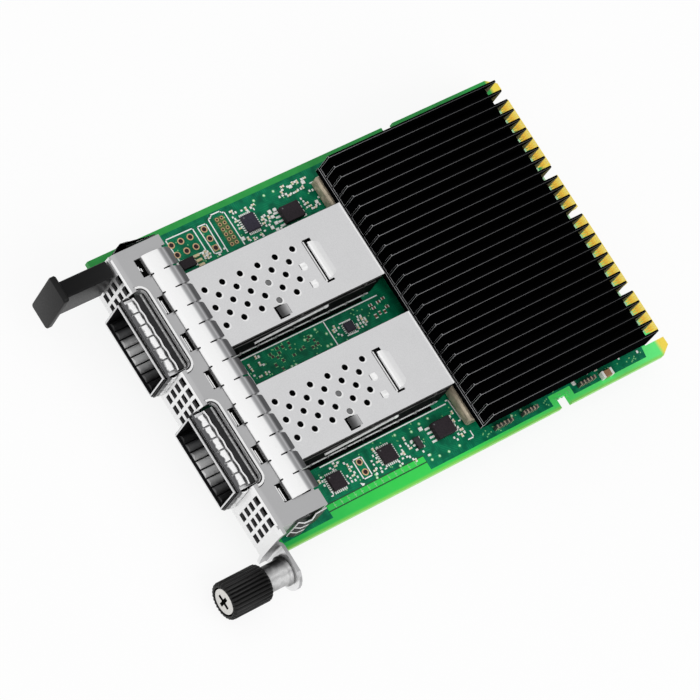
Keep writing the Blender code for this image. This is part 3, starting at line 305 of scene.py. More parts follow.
finishes = {
    "laminate": laminateFinish(),
    "mask": maskFinish(),
    "gold": goldFinish(),
    "copperRing": plainFinish("plated_ring", tone(226, 186, 140), 0.35, 0.0, 0.1, 0.1),
    "holeDark": plainFinish("hole_wall", tone(40, 6, 12), 0.7, 0.0, 0.1, 0.1),
    "padTin": plainFinish("tinned_pad", tone(255, 255, 250), 0.45, 0.0, 0.02, 0.06, 7.0, 0.1, 0.4),
    "padTan": plainFinish("bare_pad", tone(206, 176, 128), 0.45, 0.3, 0.1, 0.12),
    "padBrown": plainFinish("brown_footprint", tone(120, 74, 52), 0.5, 0.0, 0.15, 0.15),
    "padDark": plainFinish("dark_footprint", tone(58, 44, 40), 0.5, 0.0, 0.2, 0.15),
    "inkWhite": plainFinish("white_ink", tone(255), 0.55, 0.0, 0.0, 0.02, 8.0),
    "inkDark": plainFinish("dark_green_line", tone(4, 70, 40), 0.45, 0.0, 0.05, 0.05),
    "inkLight": plainFinish("light_green_mark", tone(132, 214, 140), 0.45, 0.0, 0.05, 0.05),
    "mint": plainFinish("mint_band", tone(190, 246, 190), 0.4, 0.0, 0.1, 0.15, 2.0, 0.1, 0.3),
    "olive": plainFinish("olive_flood", tone(74, 104, 44), 0.4, 0.0, 0.15, 0.1),
    "anodised": plainFinish("black_anodised", tone(7, 7, 8), 0.6, 0.0, 0.3, 0.1, 4.0, 0.12, 0.0, (1, 0.15, 1)),
    # painted highlight on the fins' bevels, brightest at the front
    "finEdgeHighlight": bandedFinish("fin_edge_painted_highlight", bands["finEdge"], 0.5, 0.0, speck=0.2),
    # painted light patch for the rear ends of the fins
    "finGlint": plainFinish("lit_fin_end", tone(116, 112, 74), 0.6, 0.0, 0.3, 0.15, 2.0, 0.1, 0.2),
    "plate": plainFinish("plated_sheet", tone(190, 190, 191), 0.42, 1.0, 0.012, 0.03, 7.0, 0.03),
    # a brighter, painted-lit copy of the plated sheet for front faces and highlights
    "plateLit": plainFinish("plated_sheet_painted_lit", tone(246), 0.32, 0.8, 0.02, 0.02, 7.0, 0.04),
    "spring": plainFinish("bright_spring_sheet", tone(238, 238, 237), 0.2, 1.0, 0.03, 0.04, 5.0, 0.05),
    "cage": plainFinish("cage_sheet", tone(233, 233, 234), 0.48, 1.0, 0.012, 0.05, 4.5, 0.1),
    # dark inner finish, painted as shade inside the cage
    "cageInnerShade": plainFinish("cage_inner_painted_shade", tone(26, 26, 28), 0.5, 0.2, 0.2, 0.1, 5.0, 0.1, 0.2),
    # dark finish painted as the shade on the cage's side walls
    "cageSideShade": plainFinish("cage_side_painted_shade", tone(16, 16, 17), 0.6, 0.0, 0.3, 0.2, 2.0, 0.2, 0.02, (1, 0.25, 1)),
    "cageShade": plainFinish("cage_shade", tone(118, 118, 119), 0.5, 0.3, 0.08, 0.08),
    "rail": plainFinish("bright_rail", tone(252), 0.35, 0.0, 0.03, 0.1, 2.0, 0.1, 0.5, (1, 0.3, 1)),
    "railShade": plainFinish("shaded_rail", tone(96, 94, 94), 0.5, 0.0, 0.1, 0.3, 1.2, 0.2, 0.1, (1, 0.3, 1)),
    "steel": plainFinish("screw_steel_bright", tone(222, 220, 216), 0.24, 1.0, 0.06, 0.08, 4.0, 0.1),
    # dark metal for the hem, also painting shadow lines and shade on other parts
    "darkMetalShade": plainFinish("dark_hem_and_painted_shade", tone(20, 20, 21), 0.45, 0.2, 0.2, 0.1, 5.0, 0.1, 0.2),
    "gasket": plainFinish("black_foam", tone(52, 52, 53), 0.9, 0.0, 0.1, 0.25, 5.0, 0.6, 0.1),
    # black painted shade, for places that only shade makes dark
    "shadeBlack": plainFinish("black_painted_shade", tone(12), 0.95, 0.0, 0.1, 0.1, 5.0, 0.3, 0.0),
    "socket": plainFinish("socket_moulding", tone(28, 28, 30), 0.5, 0.0, 0.1, 0.1, 4.0, 0.15, 0.3),
    "tab": plainFinish("moulded_black_satin", tone(8, 8, 9), 0.45, 0.0, 0.15, 0.1, 4.0, 0.15, 0.25),
    "knob": plainFinish("moulded_black_grip", tone(10), 0.4, 0.0, 0.15, 0.1, 4.0, 0.15, 0.3),
    # bands of painted reflection across the ferrule
    "ferrule": bandedFinish("ferrule_painted_reflections", bands["ferrule"], 0.35, 0.15, 0.35, "X", speck=0.1, wobbleGrain=0.5),
    # louvre with a painted highlight at its front
    "louvre": bandedFinish("louvre_painted_highlight", bands["louvre"], 0.4, 0.4, speck=0.03),
    # raised tab with painted shading from dark to light
    "lance": bandedFinish("raised_tab_painted_shading", bands["lance"], 0.5, 0.0, 0.1),
    "package": plainFinish("chip_moulding", tone(48, 40, 46), 0.5, 0.0, 0.12, 0.25, 3.0, 0.2, 0.2),
    "packageBlue": plainFinish("chip_moulding_blue", tone(54, 50, 66), 0.45, 0.0, 0.15, 0.25, 2.4, 0.15, 0.25),
    "can": plainFinish("crystal_can", tone(206, 192, 168), 0.32, 0.35, 0.12, 0.2, 0.8),
    "tan": plainFinish("tan_ceramic", tone(170, 130, 92), 0.5, 0.0, 0.1, 0.12),
    "cream": plainFinish("cream_body", tone(246, 226, 180), 0.45, 0.0, 0.12, 0.12),
    "partBlack": plainFinish("small_black_body", tone(34, 32, 34), 0.45, 0.0, 0.2, 0.15),
    "ferrite": plainFinish("dark_ferrite", tone(66, 64, 62), 0.5, 0.1, 0.25, 0.2),
    "thermal": plainFinish("thermal_grey", tone(160, 164, 170), 0.8, 0.0, 0.05, 0.08),
    # finger sheet with its reflections and shade painted along y
    "strip": bandedFinish("tinned_finger_sheet_painted_reflections", bands["strip"], 0.38, 0.35, speck=0.02),
    # spring sheet with its reflections painted along y
    "collar": bandedFinish("spring_sheet_painted_reflections", bands["collar"], 0.3, 0.3, 0.22),
    "knit": plainFinish("knitted_band", tone(196), 0.4, 0.6, 0.1, 0.3, 2.6, 0.4),
    # port floor sheet with a painted highlight in the middle and painted shade at the sides
    "ribs": bandedFinish("port_floor_painted_light", bands["ribs"], 0.4, 0.0, 0.3, "X", portX, 0.06),
}
print("finishes ready:", len(finishes))


# mesh helpers, all in card millimetres
bevelOver = math.radians(35)        # edges sharper than this are rounded
mergeWithin = 0.000002
flatWithin = math.radians(0.6)


def addBox(bm, x0, x1, y0, y1, z0, z1, slot=0):
    corners = [bm.verts.new(p) for p in ((x0, y0, z0), (x1, y0, z0), (x1, y1, z0), (x0, y1, z0),
                                         (x0, y0, z1), (x1, y0, z1), (x1, y1, z1), (x0, y1, z1))]
    for ring in ((3, 2, 1, 0), (4, 5, 6, 7), (0, 1, 5, 4), (1, 2, 6, 5), (2, 3, 7, 6), (3, 0, 4, 7)):
        face = bm.faces.new([corners[i] for i in ring])
        face.material_index = slot


def addPrism(bm, outline, plane, low, high):
    # plane "XY" extrudes along z, "YZ" along x and "XZ" along y
    def point(pair, depth):
        return {"XY": (pair[0], pair[1], depth), "YZ": (depth, pair[0], pair[1]),
                "XZ": (pair[0], depth, pair[1])}[plane]
    bottom = [bm.verts.new(point(pair, low)) for pair in outline]
    top = [bm.verts.new(point(pair, high)) for pair in outline]
    faces = [bm.faces.new(bottom), bm.faces.new(top)]
    count = len(outline)
    for i in range(count):
        j = (i + 1) % count
        faces.append(bm.faces.new((bottom[i], bottom[j], top[j], top[i])))
    bmesh.ops.recalc_face_normals(bm, faces=faces)


def addLoft(bm, stations):
    # stations run along y: (y, middle z, half width, half thickness, middle x)
    rings = []
    for y, z, wide, thick, x in stations:
        rings.append([bm.verts.new((x + a * wide, y, z + b * thick)) for a, b in ((-1, -1), (1, -1), (1, 1), (-1, 1))])
    faces = [bm.faces.new(rings[0]), bm.faces.new(rings[-1])]
    for first, second in zip(rings, rings[1:]):
        for i in range(4):
            j = (i + 1) % 4
            faces.append(bm.faces.new((first[i], first[j], second[j], second[i])))
    bmesh.ops.recalc_face_normals(bm, faces=faces)


def addBand(bm, inner, outer, z0, z1):
    # a flat band between two open outlines of equal length
    faces = []
    for i in range(len(inner) - 1):
        quad = (inner[i], inner[i + 1], outer[i + 1], outer[i])
        low = [bm.verts.new((x, y, z0)) for x, y in quad]
        high = [bm.verts.new((x, y, z1)) for x, y in quad]
        faces += [bm.faces.new(low), bm.faces.new(high)]
        for k in range(4):
            j = (k + 1) % 4
            faces.append(bm.faces.new((low[k], low[j], high[j], high[k])))
    bmesh.ops.recalc_face_normals(bm, faces=faces)


def addRod(bm, x, y, z0, z1, radius, sides=16):
    turns = [2 * math.pi * i / sides for i in range(sides)]
    addPrism(bm, [(x + radius * math.cos(turn), y + radius * math.sin(turn)) for turn in turns], "XY", z0, z1)


def addTurned(bm, profile, axis, steps):
    # profile is (radius, distance along the axis), a closed loop or one that starts and ends on the axis
    rings = []
    for radius, depth in profile:
        ring = []
        for step in range(1 if radius == 0 else steps):
            angle = 2 * math.pi * step / steps
            a, b = radius * math.cos(angle), radius * math.sin(angle)
            ring.append(bm.verts.new((a, depth, b) if axis == "y" else (a, b, depth)))
        rings.append(ring)
    pairs = list(zip(rings, rings[1:]))
    if profile[0][0] and profile[-1][0]:
        pairs.append((rings[-1], rings[0]))
    made = []
    for first, second in pairs:
        for step in range(steps):
            after = (step + 1) % steps
            ring = [first[step % len(first)], first[after % len(first)], second[after % len(second)],
                    second[step % len(second)]]
            ring = [v for i, v in enumerate(ring) if v not in ring[:i]]
            if len(ring) > 2:
                made.append(bm.faces.new(ring))
    bmesh.ops.recalc_face_normals(bm, faces=made)


def addObject(name, data):
    obj = bpy.data.objects.new(name, data)
    bpy.context.scene.collection.objects.link(obj)
    return obj


def toMesh(bm, name):
    mesh = bpy.data.meshes.new(name)
    bm.to_mesh(mesh)
    bm.free()
    return mesh


def plainMesh(obj):
    # the evaluated shape as a mesh of its own
    graph = bpy.context.evaluated_depsgraph_get()
    return bpy.data.meshes.new_from_object(obj.evaluated_get(graph), preserve_all_data_layers=True, depsgraph=graph)


def showPiece(name, mesh, body="card", replaces=()):
    piece = addObject(name, mesh)
    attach(piece, body)
    if replaces:
        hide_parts(*replaces)
    return piece


def finishPiece(name, bm, materials, body="card", replaces=(), bevel=0.0, segments=2,
                smooth=0.0, cutters=(), bevelSlot=-1):
    # card millimetres to metres, then cuts and rounded edges, baked into a plain mesh
    bmesh.ops.transform(bm, matrix=cardPlace, verts=bm.verts)
    mesh = toMesh(bm, name)
    for material in materials:
        mesh.materials.append(finishes[material])
    if bevel or cutters:
        draft = addObject(name + ".draft", mesh)
        for cutter in cutters:
            cut = draft.modifiers.new("cut", "BOOLEAN")
            cut.operation = "DIFFERENCE"
            cut.solver = "EXACT"
            cut.object = cutter
        if bevel:
            edge = draft.modifiers.new("edge", "BEVEL")
            edge.width = bevel * mm
            edge.segments = segments
            edge.limit_method = "ANGLE"
            edge.angle_limit = bevelOver
            edge.material = bevelSlot
            edge.use_clamp_overlap = True
        mesh = plainMesh(draft)
        bpy.data.objects.remove(draft)
    if smooth:
        mesh.shade_smooth()
        mesh.set_sharp_from_angle(angle=math.radians(smooth))
    mesh.name = name
    return showPiece(name, mesh, body, replaces)


def cutterFrom(bm):
    bmesh.ops.transform(bm, matrix=cardPlace, verts=bm.verts)
    return addObject("cutter", toMesh(bm, "cutter"))


def boxPiece(name, boxes, finish, body="card", bevel=0.0, cutters=()):
    # one piece made of plain boxes
    bm = bmesh.new()
    for box in boxes:
        addBox(bm, *box)
    return finishPiece(name, bm, [finish], body, (), bevel, 1, 0.0, cutters)


def nodeDraft(node, paint=None):
    # a CAD node's own shape with merged points; paint picks each face's finish
    bm = bmesh.new()
    bm.from_mesh(bpy.data.objects[node].data)
    bmesh.ops.remove_doubles(bm, verts=bm.verts, dist=mergeWithin)
    bmesh.ops.dissolve_limit(bm, angle_limit=flatWithin, verts=bm.verts, edges=bm.edges)
    bmesh.ops.transform(bm, matrix=cardPlace.inverted(), verts=bm.verts)
    bm.normal_update()
    for face in bm.faces:
        face.material_index = paint(face.calc_center_median(), face.normal) if paint else 0
    return bm


def copyOfNode(node, materials, bevel=0.0, segments=2, smooth=0.0, bevelSlot=-1, paint=None):
    # a CAD node's own shape with softened edges, on the node's body and in the node's place
    body = next(b for b, nodes in frame["record"]["behaviour"]["bodies"].items() if node in nodes)
    return finishPiece(node + ".shaped", nodeDraft(node, paint), materials, body, (node,),
                       bevel, segments, smooth, (), bevelSlot)


def dressNode(node, material):
    # a CAD node keeps its shape and takes a better material
    obj = bpy.data.objects[node]
    for part in obj.material_slots:
        part.material = finishes[material]


# geometry nodes trees

def newTree(name, inputs):
    tree = bpy.data.node_groups.new(name, "GeometryNodeTree")
    tree.interface.new_socket("Geometry", in_out="INPUT", socket_type="NodeSocketGeometry")
    tree.interface.new_socket("Geometry", in_out="OUTPUT", socket_type="NodeSocketGeometry")
    for label, kind, value in (*inputs, ("Material", "Material", None)):
        socket = tree.interface.new_socket(label, in_out="INPUT", socket_type="NodeSocket" + kind)
        if value is not None:
            socket.default_value = value
    start = tree.nodes.new("NodeGroupInput")
    end = tree.nodes.new("NodeGroupOutput")
    return tree, start, end


def closeTree(tree, instances, start, end):
    # real geometry in the asked material
    link = tree.links.new
    solid = tree.nodes.new("GeometryNodeRealizeInstances")
    paint = tree.nodes.new("GeometryNodeSetMaterial")
    link(instances, solid.inputs["Geometry"])
    link(solid.outputs["Geometry"], paint.inputs["Geometry"])
    link(start.outputs["Material"], paint.inputs["Material"])
    link(paint.outputs["Geometry"], end.inputs["Geometry"])
    return tree


def spotTree():
    # a box or a disc at every point, sized and turned by the point's own values
    tree, start, end = newTree("spots", (("Round", "Bool", False), ("Sides", "Int", 12)))
    add, link = tree.nodes.new, tree.links.new
    cube = add("GeometryNodeMeshCube")
    disc = add("GeometryNodeMeshCylinder")
    disc.inputs["Radius"].default_value = 0.5
    disc.inputs["Depth"].default_value = 1.0
    link(start.outputs["Sides"], disc.inputs["Vertices"])
    pick = add("GeometryNodeSwitch")
    pick.input_type = "GEOMETRY"
    link(start.outputs["Round"], pick.inputs["Switch"])
    link(cube.outputs["Mesh"], pick.inputs["False"])
    link(disc.outputs["Mesh"], pick.inputs["True"])
    spread = add("GeometryNodeInstanceOnPoints")
    link(start.outputs["Geometry"], spread.inputs["Points"])
    link(pick.outputs["Output"], spread.inputs["Instance"])
    for label, kind, socket in (("size", "FLOAT_VECTOR", "Scale"), ("turn", "FLOAT_VECTOR", "Rotation")):
        named = add("GeometryNodeInputNamedAttribute")
        named.data_type = kind
        named.inputs["Name"].default_value = label
        link(named.outputs["Attribute"], spread.inputs[socket])
    return closeTree(tree, spread.outputs["Instances"], start, end)


def rowTree():
    # one shape repeated in a straight row
    tree, start, end = newTree("row", (("Count", "Int", 6), ("Step", "Vector", None)))
    add, link = tree.nodes.new, tree.links.new
    row = add("GeometryNodeMeshLine")
    copies = add("GeometryNodeInstanceOnPoints")
    link(start.outputs["Count"], row.inputs["Count"])
    link(start.outputs["Step"], row.inputs["Offset"])
    link(row.outputs["Mesh"], copies.inputs["Points"])
    link(start.outputs["Geometry"], copies.inputs["Instance"])
    return closeTree(tree, copies.outputs["Instances"], start, end)


def setInputs(modifier, values):
    for item in modifier.node_group.interface.items_tree:
        if item.item_type == "SOCKET" and item.in_out == "INPUT" and item.name in values:
            modifier[item.identifier] = values[item.name]


spots = spotTree()
rows = rowTree()


def repeated(bm, count, step, material):
    # the drafted shape and its copies, back as one draft in card millimetres
    bmesh.ops.scale(bm, vec=(mm, mm, mm), verts=bm.verts)
    draft = addObject("row.draft", toMesh(bm, "unit"))
    nodes = draft.modifiers.new("row", "NODES")
    nodes.node_group = rows
    setInputs(nodes, {"Count": count, "Step": [value * mm for value in step], "Material": finishes[material]})
    solid = plainMesh(draft)
    bpy.data.objects.remove(draft)
    made = bmesh.new()
    made.from_mesh(solid)
    bmesh.ops.scale(made, vec=(1 / mm, 1 / mm, 1 / mm), verts=made.verts)
    for face in made.faces:
        face.material_index = 0
    return made


def absorb(bm, other):
    bm.from_mesh(toMesh(other, "part"))


def spotPiece(name, places, material, rounded=False, sides=12, bevel=0.0, keep=True):
    # places are (x, y, z, width, depth, height, turn in degrees) in card millimetres, z at the middle
    mesh = bpy.data.meshes.new(name)
    mesh.from_pydata([cardPlace @ Vector(place[:3]) for place in places], [], [])
    size = mesh.attributes.new("size", "FLOAT_VECTOR", "POINT")
    turn = mesh.attributes.new("turn", "FLOAT_VECTOR", "POINT")
    for i, place in enumerate(places):
        size.data[i].vector = [value * mm for value in place[3:6]]
        turn.data[i].vector = (0.0, 0.0, math.radians(place[6] if len(place) > 6 else 0.0))
    draft = addObject(name + ".draft", mesh)
    nodes = draft.modifiers.new("spots", "NODES")
    nodes.node_group = spots
    setInputs(nodes, {"Round": rounded, "Sides": sides, "Material": finishes[material]})
    if bevel:
        edge = draft.modifiers.new("edge", "BEVEL")
        edge.width = bevel * mm
        edge.segments = 1
    solid = plainMesh(draft)
    bpy.data.objects.remove(draft)
    for layer in list(solid.attributes):
        if layer.name in ("size", "turn"):
            solid.attributes.remove(layer)
    solid.name = name
    return showPiece(name, solid) if keep else addObject(name, solid)


# camera, floor and light

view = {"place": (0.163099, -0.434194, 0.732805), "target": (0.000867, -0.006202, 0.0069), "roll": 39.777,
        "lens": 201.754}
eye = Vector(view["place"])
camera = addObject("camera", bpy.data.cameras.new("camera"))
camera.location = eye
camera.rotation_mode = "QUATERNION"
aimed = (Vector(view["target"]) - eye).to_track_quat("-Z", "Y")
camera.rotation_quaternion = aimed @ Quaternion((0, 0, 1), math.radians(view["roll"]))
camera.data.lens = view["lens"]
camera.data.sensor_width = 36.0
camera.data.clip_start = 0.01
bpy.context.scene.camera = camera
bpy.context.scene.view_settings.view_transform = "Standard"

studio = {"floorReach": 4.0, "floorDrop": 0.0002, "floorGlow": 0.875, "skyDim": 0.16, "skyBright": 0.98, "lean": 0.55,
          "keyPower": 4.0, "keySize": 1.1}


def whiteFloor():
    mesh = bpy.data.meshes.new("floor")
    reach = studio["floorReach"]
    mesh.from_pydata([(-reach, -reach, 0), (reach, -reach, 0), (reach, reach, 0), (-reach, reach, 0)], [],
                     [(0, 1, 2, 3)])
    floor = addObject("floor", mesh)
    floor.location.z = -studio["floorDrop"]
    material = bpy.data.materials.new("floor_white")
    material.use_nodes = True
    tree = material.node_tree
    shader = tree.nodes["Principled BSDF"]
    shader.inputs["Base Color"].default_value = (0.93, 0.93, 0.93, 1.0)
    shader.inputs["Roughness"].default_value = 0.9
    glow = tree.nodes.new("ShaderNodeEmission")
    path = tree.nodes.new("ShaderNodeLightPath")
    seen = tree.nodes.new("ShaderNodeMath")
    seen.operation = "MAXIMUM"
    other = tree.nodes.new("ShaderNodeMath")
    other.operation = "MAXIMUM"
    share = tree.nodes.new("ShaderNodeMath")
    share.operation = "MULTIPLY"
    share.inputs[1].default_value = studio["floorGlow"]
    mix = tree.nodes.new("ShaderNodeMixShader")
    link = tree.links.new
    link(path.outputs["Is Camera Ray"], seen.inputs[0])
    link(path.outputs["Is Glossy Ray"], seen.inputs[1])
    link(seen.outputs["Value"], other.inputs[0])
    link(path.outputs["Is Transmission Ray"], other.inputs[1])
    link(other.outputs["Value"], share.inputs[0])
    link(share.outputs["Value"], mix.inputs["Fac"])
    link(shader.outputs["BSDF"], mix.inputs[1])
    link(glow.outputs["Emission"], mix.inputs[2])
    link(mix.outputs["Shader"], tree.nodes["Material Output"].inputs["Surface"])
    mesh.materials.append(material)


def softSky():
    # bright overhead and in front, dimmer low down behind, so that bent metal shows its shape
    world = bpy.data.worlds.new("studio")
    bpy.context.scene.world = world
    world.use_nodes = True
    tree = world.node_tree
    link = tree.links.new
    back = tree.nodes["Background"]
    coords = tree.nodes.new("ShaderNodeTexCoord")
    parts = tree.nodes.new("ShaderNodeSeparateXYZ")
    lean = tree.nodes.new("ShaderNodeMath")
    lean.operation = "MULTIPLY_ADD"
    lean.inputs[1].default_value = -studio["lean"]
    ramp = tree.nodes.new("ShaderNodeValToRGB")
    low, high = studio["skyDim"], studio["skyBright"]
    stops = ramp.color_ramp.elements
    stops[0].position, stops[0].color = 0.0, (low, low, low, 1)
    stops[1].position, stops[1].color = 0.5, (high * 0.92,) * 3 + (1,)
    top = stops.new(1.0)
    top.color = (high, high, high, 1)
    path = tree.nodes.new("ShaderNodeLightPath")
    mix = tree.nodes.new("ShaderNodeMix")
    mix.data_type = "RGBA"
    sockets = [s for s in mix.inputs if s.enabled]
    link(coords.outputs["Generated"], parts.inputs["Vector"])
    link(parts.outputs["Y"], lean.inputs[0])
    link(parts.outputs["Z"], lean.inputs[2])
    link(lean.outputs["Value"], ramp.inputs["Fac"])
    link(path.outputs["Is Camera Ray"], sockets[0])
    link(ramp.outputs["Color"], sockets[1])
    sockets[2].default_value = (1, 1, 1, 1)
    link([s for s in mix.outputs if s.enabled][0], back.inputs["Color"])
    back.inputs["Strength"].default_value = 1.0


def addLamp(name, place, aim, size, power):
    lamp = addObject(name, bpy.data.lights.new(name, "AREA"))
    lamp.data.shape = "DISK"
    lamp.data.size = size
    lamp.data.energy = power
    lamp.location = place
    lamp.rotation_mode = "QUATERNION"
    lamp.rotation_quaternion = (Vector(aim) - Vector(place)).to_track_quat("-Z", "Y")


whiteFloor()
softSky()
addLamp("key", (0.95, 0.3, 0.8), (0, 0, 0), studio["keySize"], studio["keyPower"])
print("camera, floor and light ready")

# circuit board

board = {"maskThick": 0.03, "leftBand": 1.5, "rightBand": 1.2, "frontRight": 36.4, "openStripX": 33.3,
         "openStripFrom": -39.7, "openStripTo": -12.7, "maskFront": -57.3, "maskRear": 53.2, "tabRear": 50.6}
headerHoles = [(-33.45 + 2.54 * i, -37.8 + 2.54 * j) for i in range(2) for j in range(3)]
headerHoles += [(-33.7 + 2.45 * i, -28.7) for i in range(3)]
headerHoles += [(28.15 + 2.54 * i, -27.0) for i in range(2)]
squareHole = headerHoles[8]         # the only one with a square pad
keyFront = 52.1
# left and right side of each key
keyGaps = ((-34.3, -31.6), (-13.3, -10.6), (-1.75, 0.3), (19.3, 21.5), (32.1, 34.1))


def maskOutline():
    left = board["leftBand"] - halfBoard
    right = halfBoard - board["rightBand"]
    notch = 24.3, 27.4
    return [(left, board["maskFront"]), (34.6, board["maskFront"]), (34.6, -53.2), (board["frontRight"], -53.2),
            (board["frontRight"], board["openStripFrom"]), (board["openStripX"], board["openStripFrom"]),
            (board["openStripX"], board["openStripTo"]), (right, board["openStripTo"]),
            (right, notch[0] - 1.7), (right - 2.5, notch[0] - 1.7), (right - 2.5, notch[1] + 1.6),
            (right - 0.3, notch[1] + 1.6),
            (right - 0.3, board["tabRear"]), (33.9, board["tabRear"] + 0.4), (33.9, board["maskRear"]),
            (-34.3, board["maskRear"]), (-34.3, board["tabRear"]), (left, board["tabRear"]),
            (left, notch[1] + 2.0), (left + 2.3, notch[1] + 2.0), (left + 2.3, notch[0] - 2.0), (left, notch[0] - 2.0)]


def boardCuts():
    bm = bmesh.new()
    for x, y in headerHoles:
        addRod(bm, x, y, -boardThick - 1, 1, 0.5, 12)
    for x0, x1 in keyGaps:
        addBox(bm, x0, x1, keyFront, 60.0, -boardThick - 1, 1)
    return cutterFrom(bm)


cuts = boardCuts()
for name, low in (("mask_top", 0.0), ("mask_under", -boardThick - board["maskThick"])):
    bm = bmesh.new()
    addPrism(bm, maskOutline(), "XY", low, low + board["maskThick"])
    finishPiece(name, bm, ["mask"], cutters=(cuts,))
# the board's own shape with the keys as wide as in the photo
finishPiece("circuit_board.shaped", nodeDraft("circuit_board"), ["laminate"], "card", ("circuit_board",),
            0.06, 1, 0.0, (cuts,))
boxPiece("key_side", [(keyGaps[2][1] + 0.01, 1.32, keyFront, rearBoard - 0.02, -boardThick, 0.0)], "laminate")
bpy.data.objects.remove(cuts)

contacts = {"pitch": 0.6, "width": 0.44, "front": 54.1, "rear": 57.25, "thick": 0.04, "keyRoom": 0.3}


def contactPlaces():
    places = []
    for k in range(-56, 55):
        x = 0.3 + k * contacts["pitch"]
        if any(low - contacts["keyRoom"] < x < high + contacts["keyRoom"] for low,
               high in keyGaps) or not -31.3 < x < 31.9:
            continue
        for z in (contacts["thick"] / 2, -boardThick - contacts["thick"] / 2):
            places.append((x, (contacts["front"] + contacts["rear"]) / 2, z, contacts["width"],
                           contacts["rear"] - contacts["front"], contacts["thick"]))
    return places


spotPiece("gold_contacts", contactPlaces(), "gold")
spotPiece("contact_tails", [(x + 0.3, 53.1, 0.05, 0.5, 0.62, 0.05) for x, y, z,
                            *rest in contactPlaces() if z > 0][::2], "inkDark")
spotPiece("contact_band", [(0.0, 52.9, 0.02, 62.4, 2.3, 0.02)], "mint")
spotPiece("hole_rings", [(x, y, 0.05, 1.62, 1.62, 0.05) for x, y in headerHoles if (x, y) != squareHole],
          "copperRing", True, 20)
spotPiece("square_pad", [(*squareHole, 0.05, 1.5, 1.5, 0.06)], "padTan")
spotPiece("hole_walls", [(x, y, 0.06, 1.08, 1.08, 0.07) for x, y in headerHoles], "holeDark", True, 16)
print("board ready")

# heat sink

sinkLow, sinkHigh = nodeBox("heat_sink")
sink = {"fins": 27, "pitch": 2.62, "thick": 0.5, "front": 1.2, "rear": sinkHigh[1], "left": sinkLow[0],
        "foot": 6.0, "base": 4.2, "top": sinkHigh[2], "ledge": 0.4, "edge": 0.09}


def finTree():
    # thin plates side by side
    sockets = (("Count", "Int", 27), ("Pitch", "Float", 0.00262), ("Thickness", "Float", 0.0005),
               ("Length", "Float", 0.048), ("Height", "Float", 0.0054))
    tree, start, end = newTree("fins", sockets)
    add, link = tree.nodes.new, tree.links.new
    row = add("GeometryNodeMeshLine")
    step = add("ShaderNodeCombineXYZ")
    link(start.outputs["Count"], row.inputs["Count"])
    link(start.outputs["Pitch"], step.inputs["X"])
    link(step.outputs["Vector"], row.inputs["Offset"])
    plate = add("GeometryNodeMeshCube")
    size = add("ShaderNodeCombineXYZ")
    for label, axis in (("Thickness", "X"), ("Length", "Y"), ("Height", "Z")):
        link(start.outputs[label], size.inputs[axis])
    link(size.outputs["Vector"], plate.inputs["Size"])
    copies = add("GeometryNodeInstanceOnPoints")
    link(row.outputs["Mesh"], copies.inputs["Points"])
    link(plate.outputs["Mesh"], copies.inputs["Instance"])
    return closeTree(tree, copies.outputs["Instances"], start, end)


def heatSink():
    draft = addObject("fins.draft", bpy.data.meshes.new("fins"))
    nodes = draft.modifiers.new("fins", "NODES")
    nodes.node_group = finTree()
    setInputs(nodes, {"Count": sink["fins"], "Pitch": sink["pitch"] * mm, "Thickness": sink["thick"] * mm,
                      "Length": (sink["rear"] - sink["front"]) * mm, "Height": (sink["top"] - sink["foot"] + 0.3) * mm,
                      "Material": finishes["anodised"]})
    fins = plainMesh(draft)
    bpy.data.objects.remove(draft)
    bm = bmesh.new()
    bm.from_mesh(fins)
    for face in bm.faces:
        face.material_index = 0
    bmesh.ops.scale(bm, vec=(1 / mm, 1 / mm, 1 / mm), verts=bm.verts)
    bmesh.ops.translate(bm, verts=bm.verts, vec=(sink["left"] + sink["thick"] / 2, (sink["front"] + sink["rear"]) / 2,
                                                 (sink["top"] + sink["foot"] - 0.3) / 2))
    right = sink["left"] + (sink["fins"] - 1) * sink["pitch"] + sink["thick"]
    addBox(bm, sink["left"], right, sink["front"] - 0.01, sink["rear"], sink["base"], sink["foot"])
    addBox(bm, sink["left"], right, sink["front"] - sink["ledge"], sink["front"] + 1.0, sink["base"],
           sink["foot"] - 0.15)
    addBox(bm, -9.5, 9.5, 15.5, 34.5, 3.7, sink["base"] + 0.1)
    reach = (right - sink["left"]) / 2 - 4.8
    for x in (0.3 - reach, 0.3 + reach):
        for y in (sink["front"] + 5.7, sink["rear"] - 5.7):
            addRod(bm, x, y, 0.3, sink["base"] + 0.1, 2.4, 16)
    piece = finishPiece("heat_sink.shaped", bm, ["anodised", "finEdgeHighlight"], "card", ("heat_sink",),
                        sink["edge"], 1, 0.0, (), 1)
    # painted highlight: only the bevels that face the light keep the bright edge finish, those facing left and up go
    # back to black
    for polygon in piece.data.polygons:
        if polygon.material_index == 1 and polygon.normal.x < -0.2 and polygon.normal.z > 0.2:
            polygon.material_index = 0
    # a painted patch of light on the rear end of each fin's right face
    glints = bmesh.new()
    for i in range(sink["fins"] - 1):
        face = sink["left"] + i * sink["pitch"] + sink["thick"]
        triangle = [(sink["rear"] - 0.05, sink["top"] - 0.25), (sink["rear"] - 2.1, sink["foot"] + 3.0),
                    (sink["rear"] - 0.05, sink["foot"] + 0.1)]
        addPrism(glints, triangle, "YZ", face - 0.05, face + 0.02)
    finishPiece("fin_end_glints", glints, ["finGlint"])


heatSink()
dressNode("controller_package", "package")
dressNode("thermal_pad", "thermal")
print("heat sink ready")

# faceplate, spring fingers and springs

sheet = {"top": 11.2, "edge": 0.1}
strip = {"fingers": 13, "pitch": 4.77, "thick": 0.3, "slit": 0.36}
portCut = {"half": 10.0, "rear": -55.5, "radius": 1.5, "rim": 0.9, "flat": -57.2}


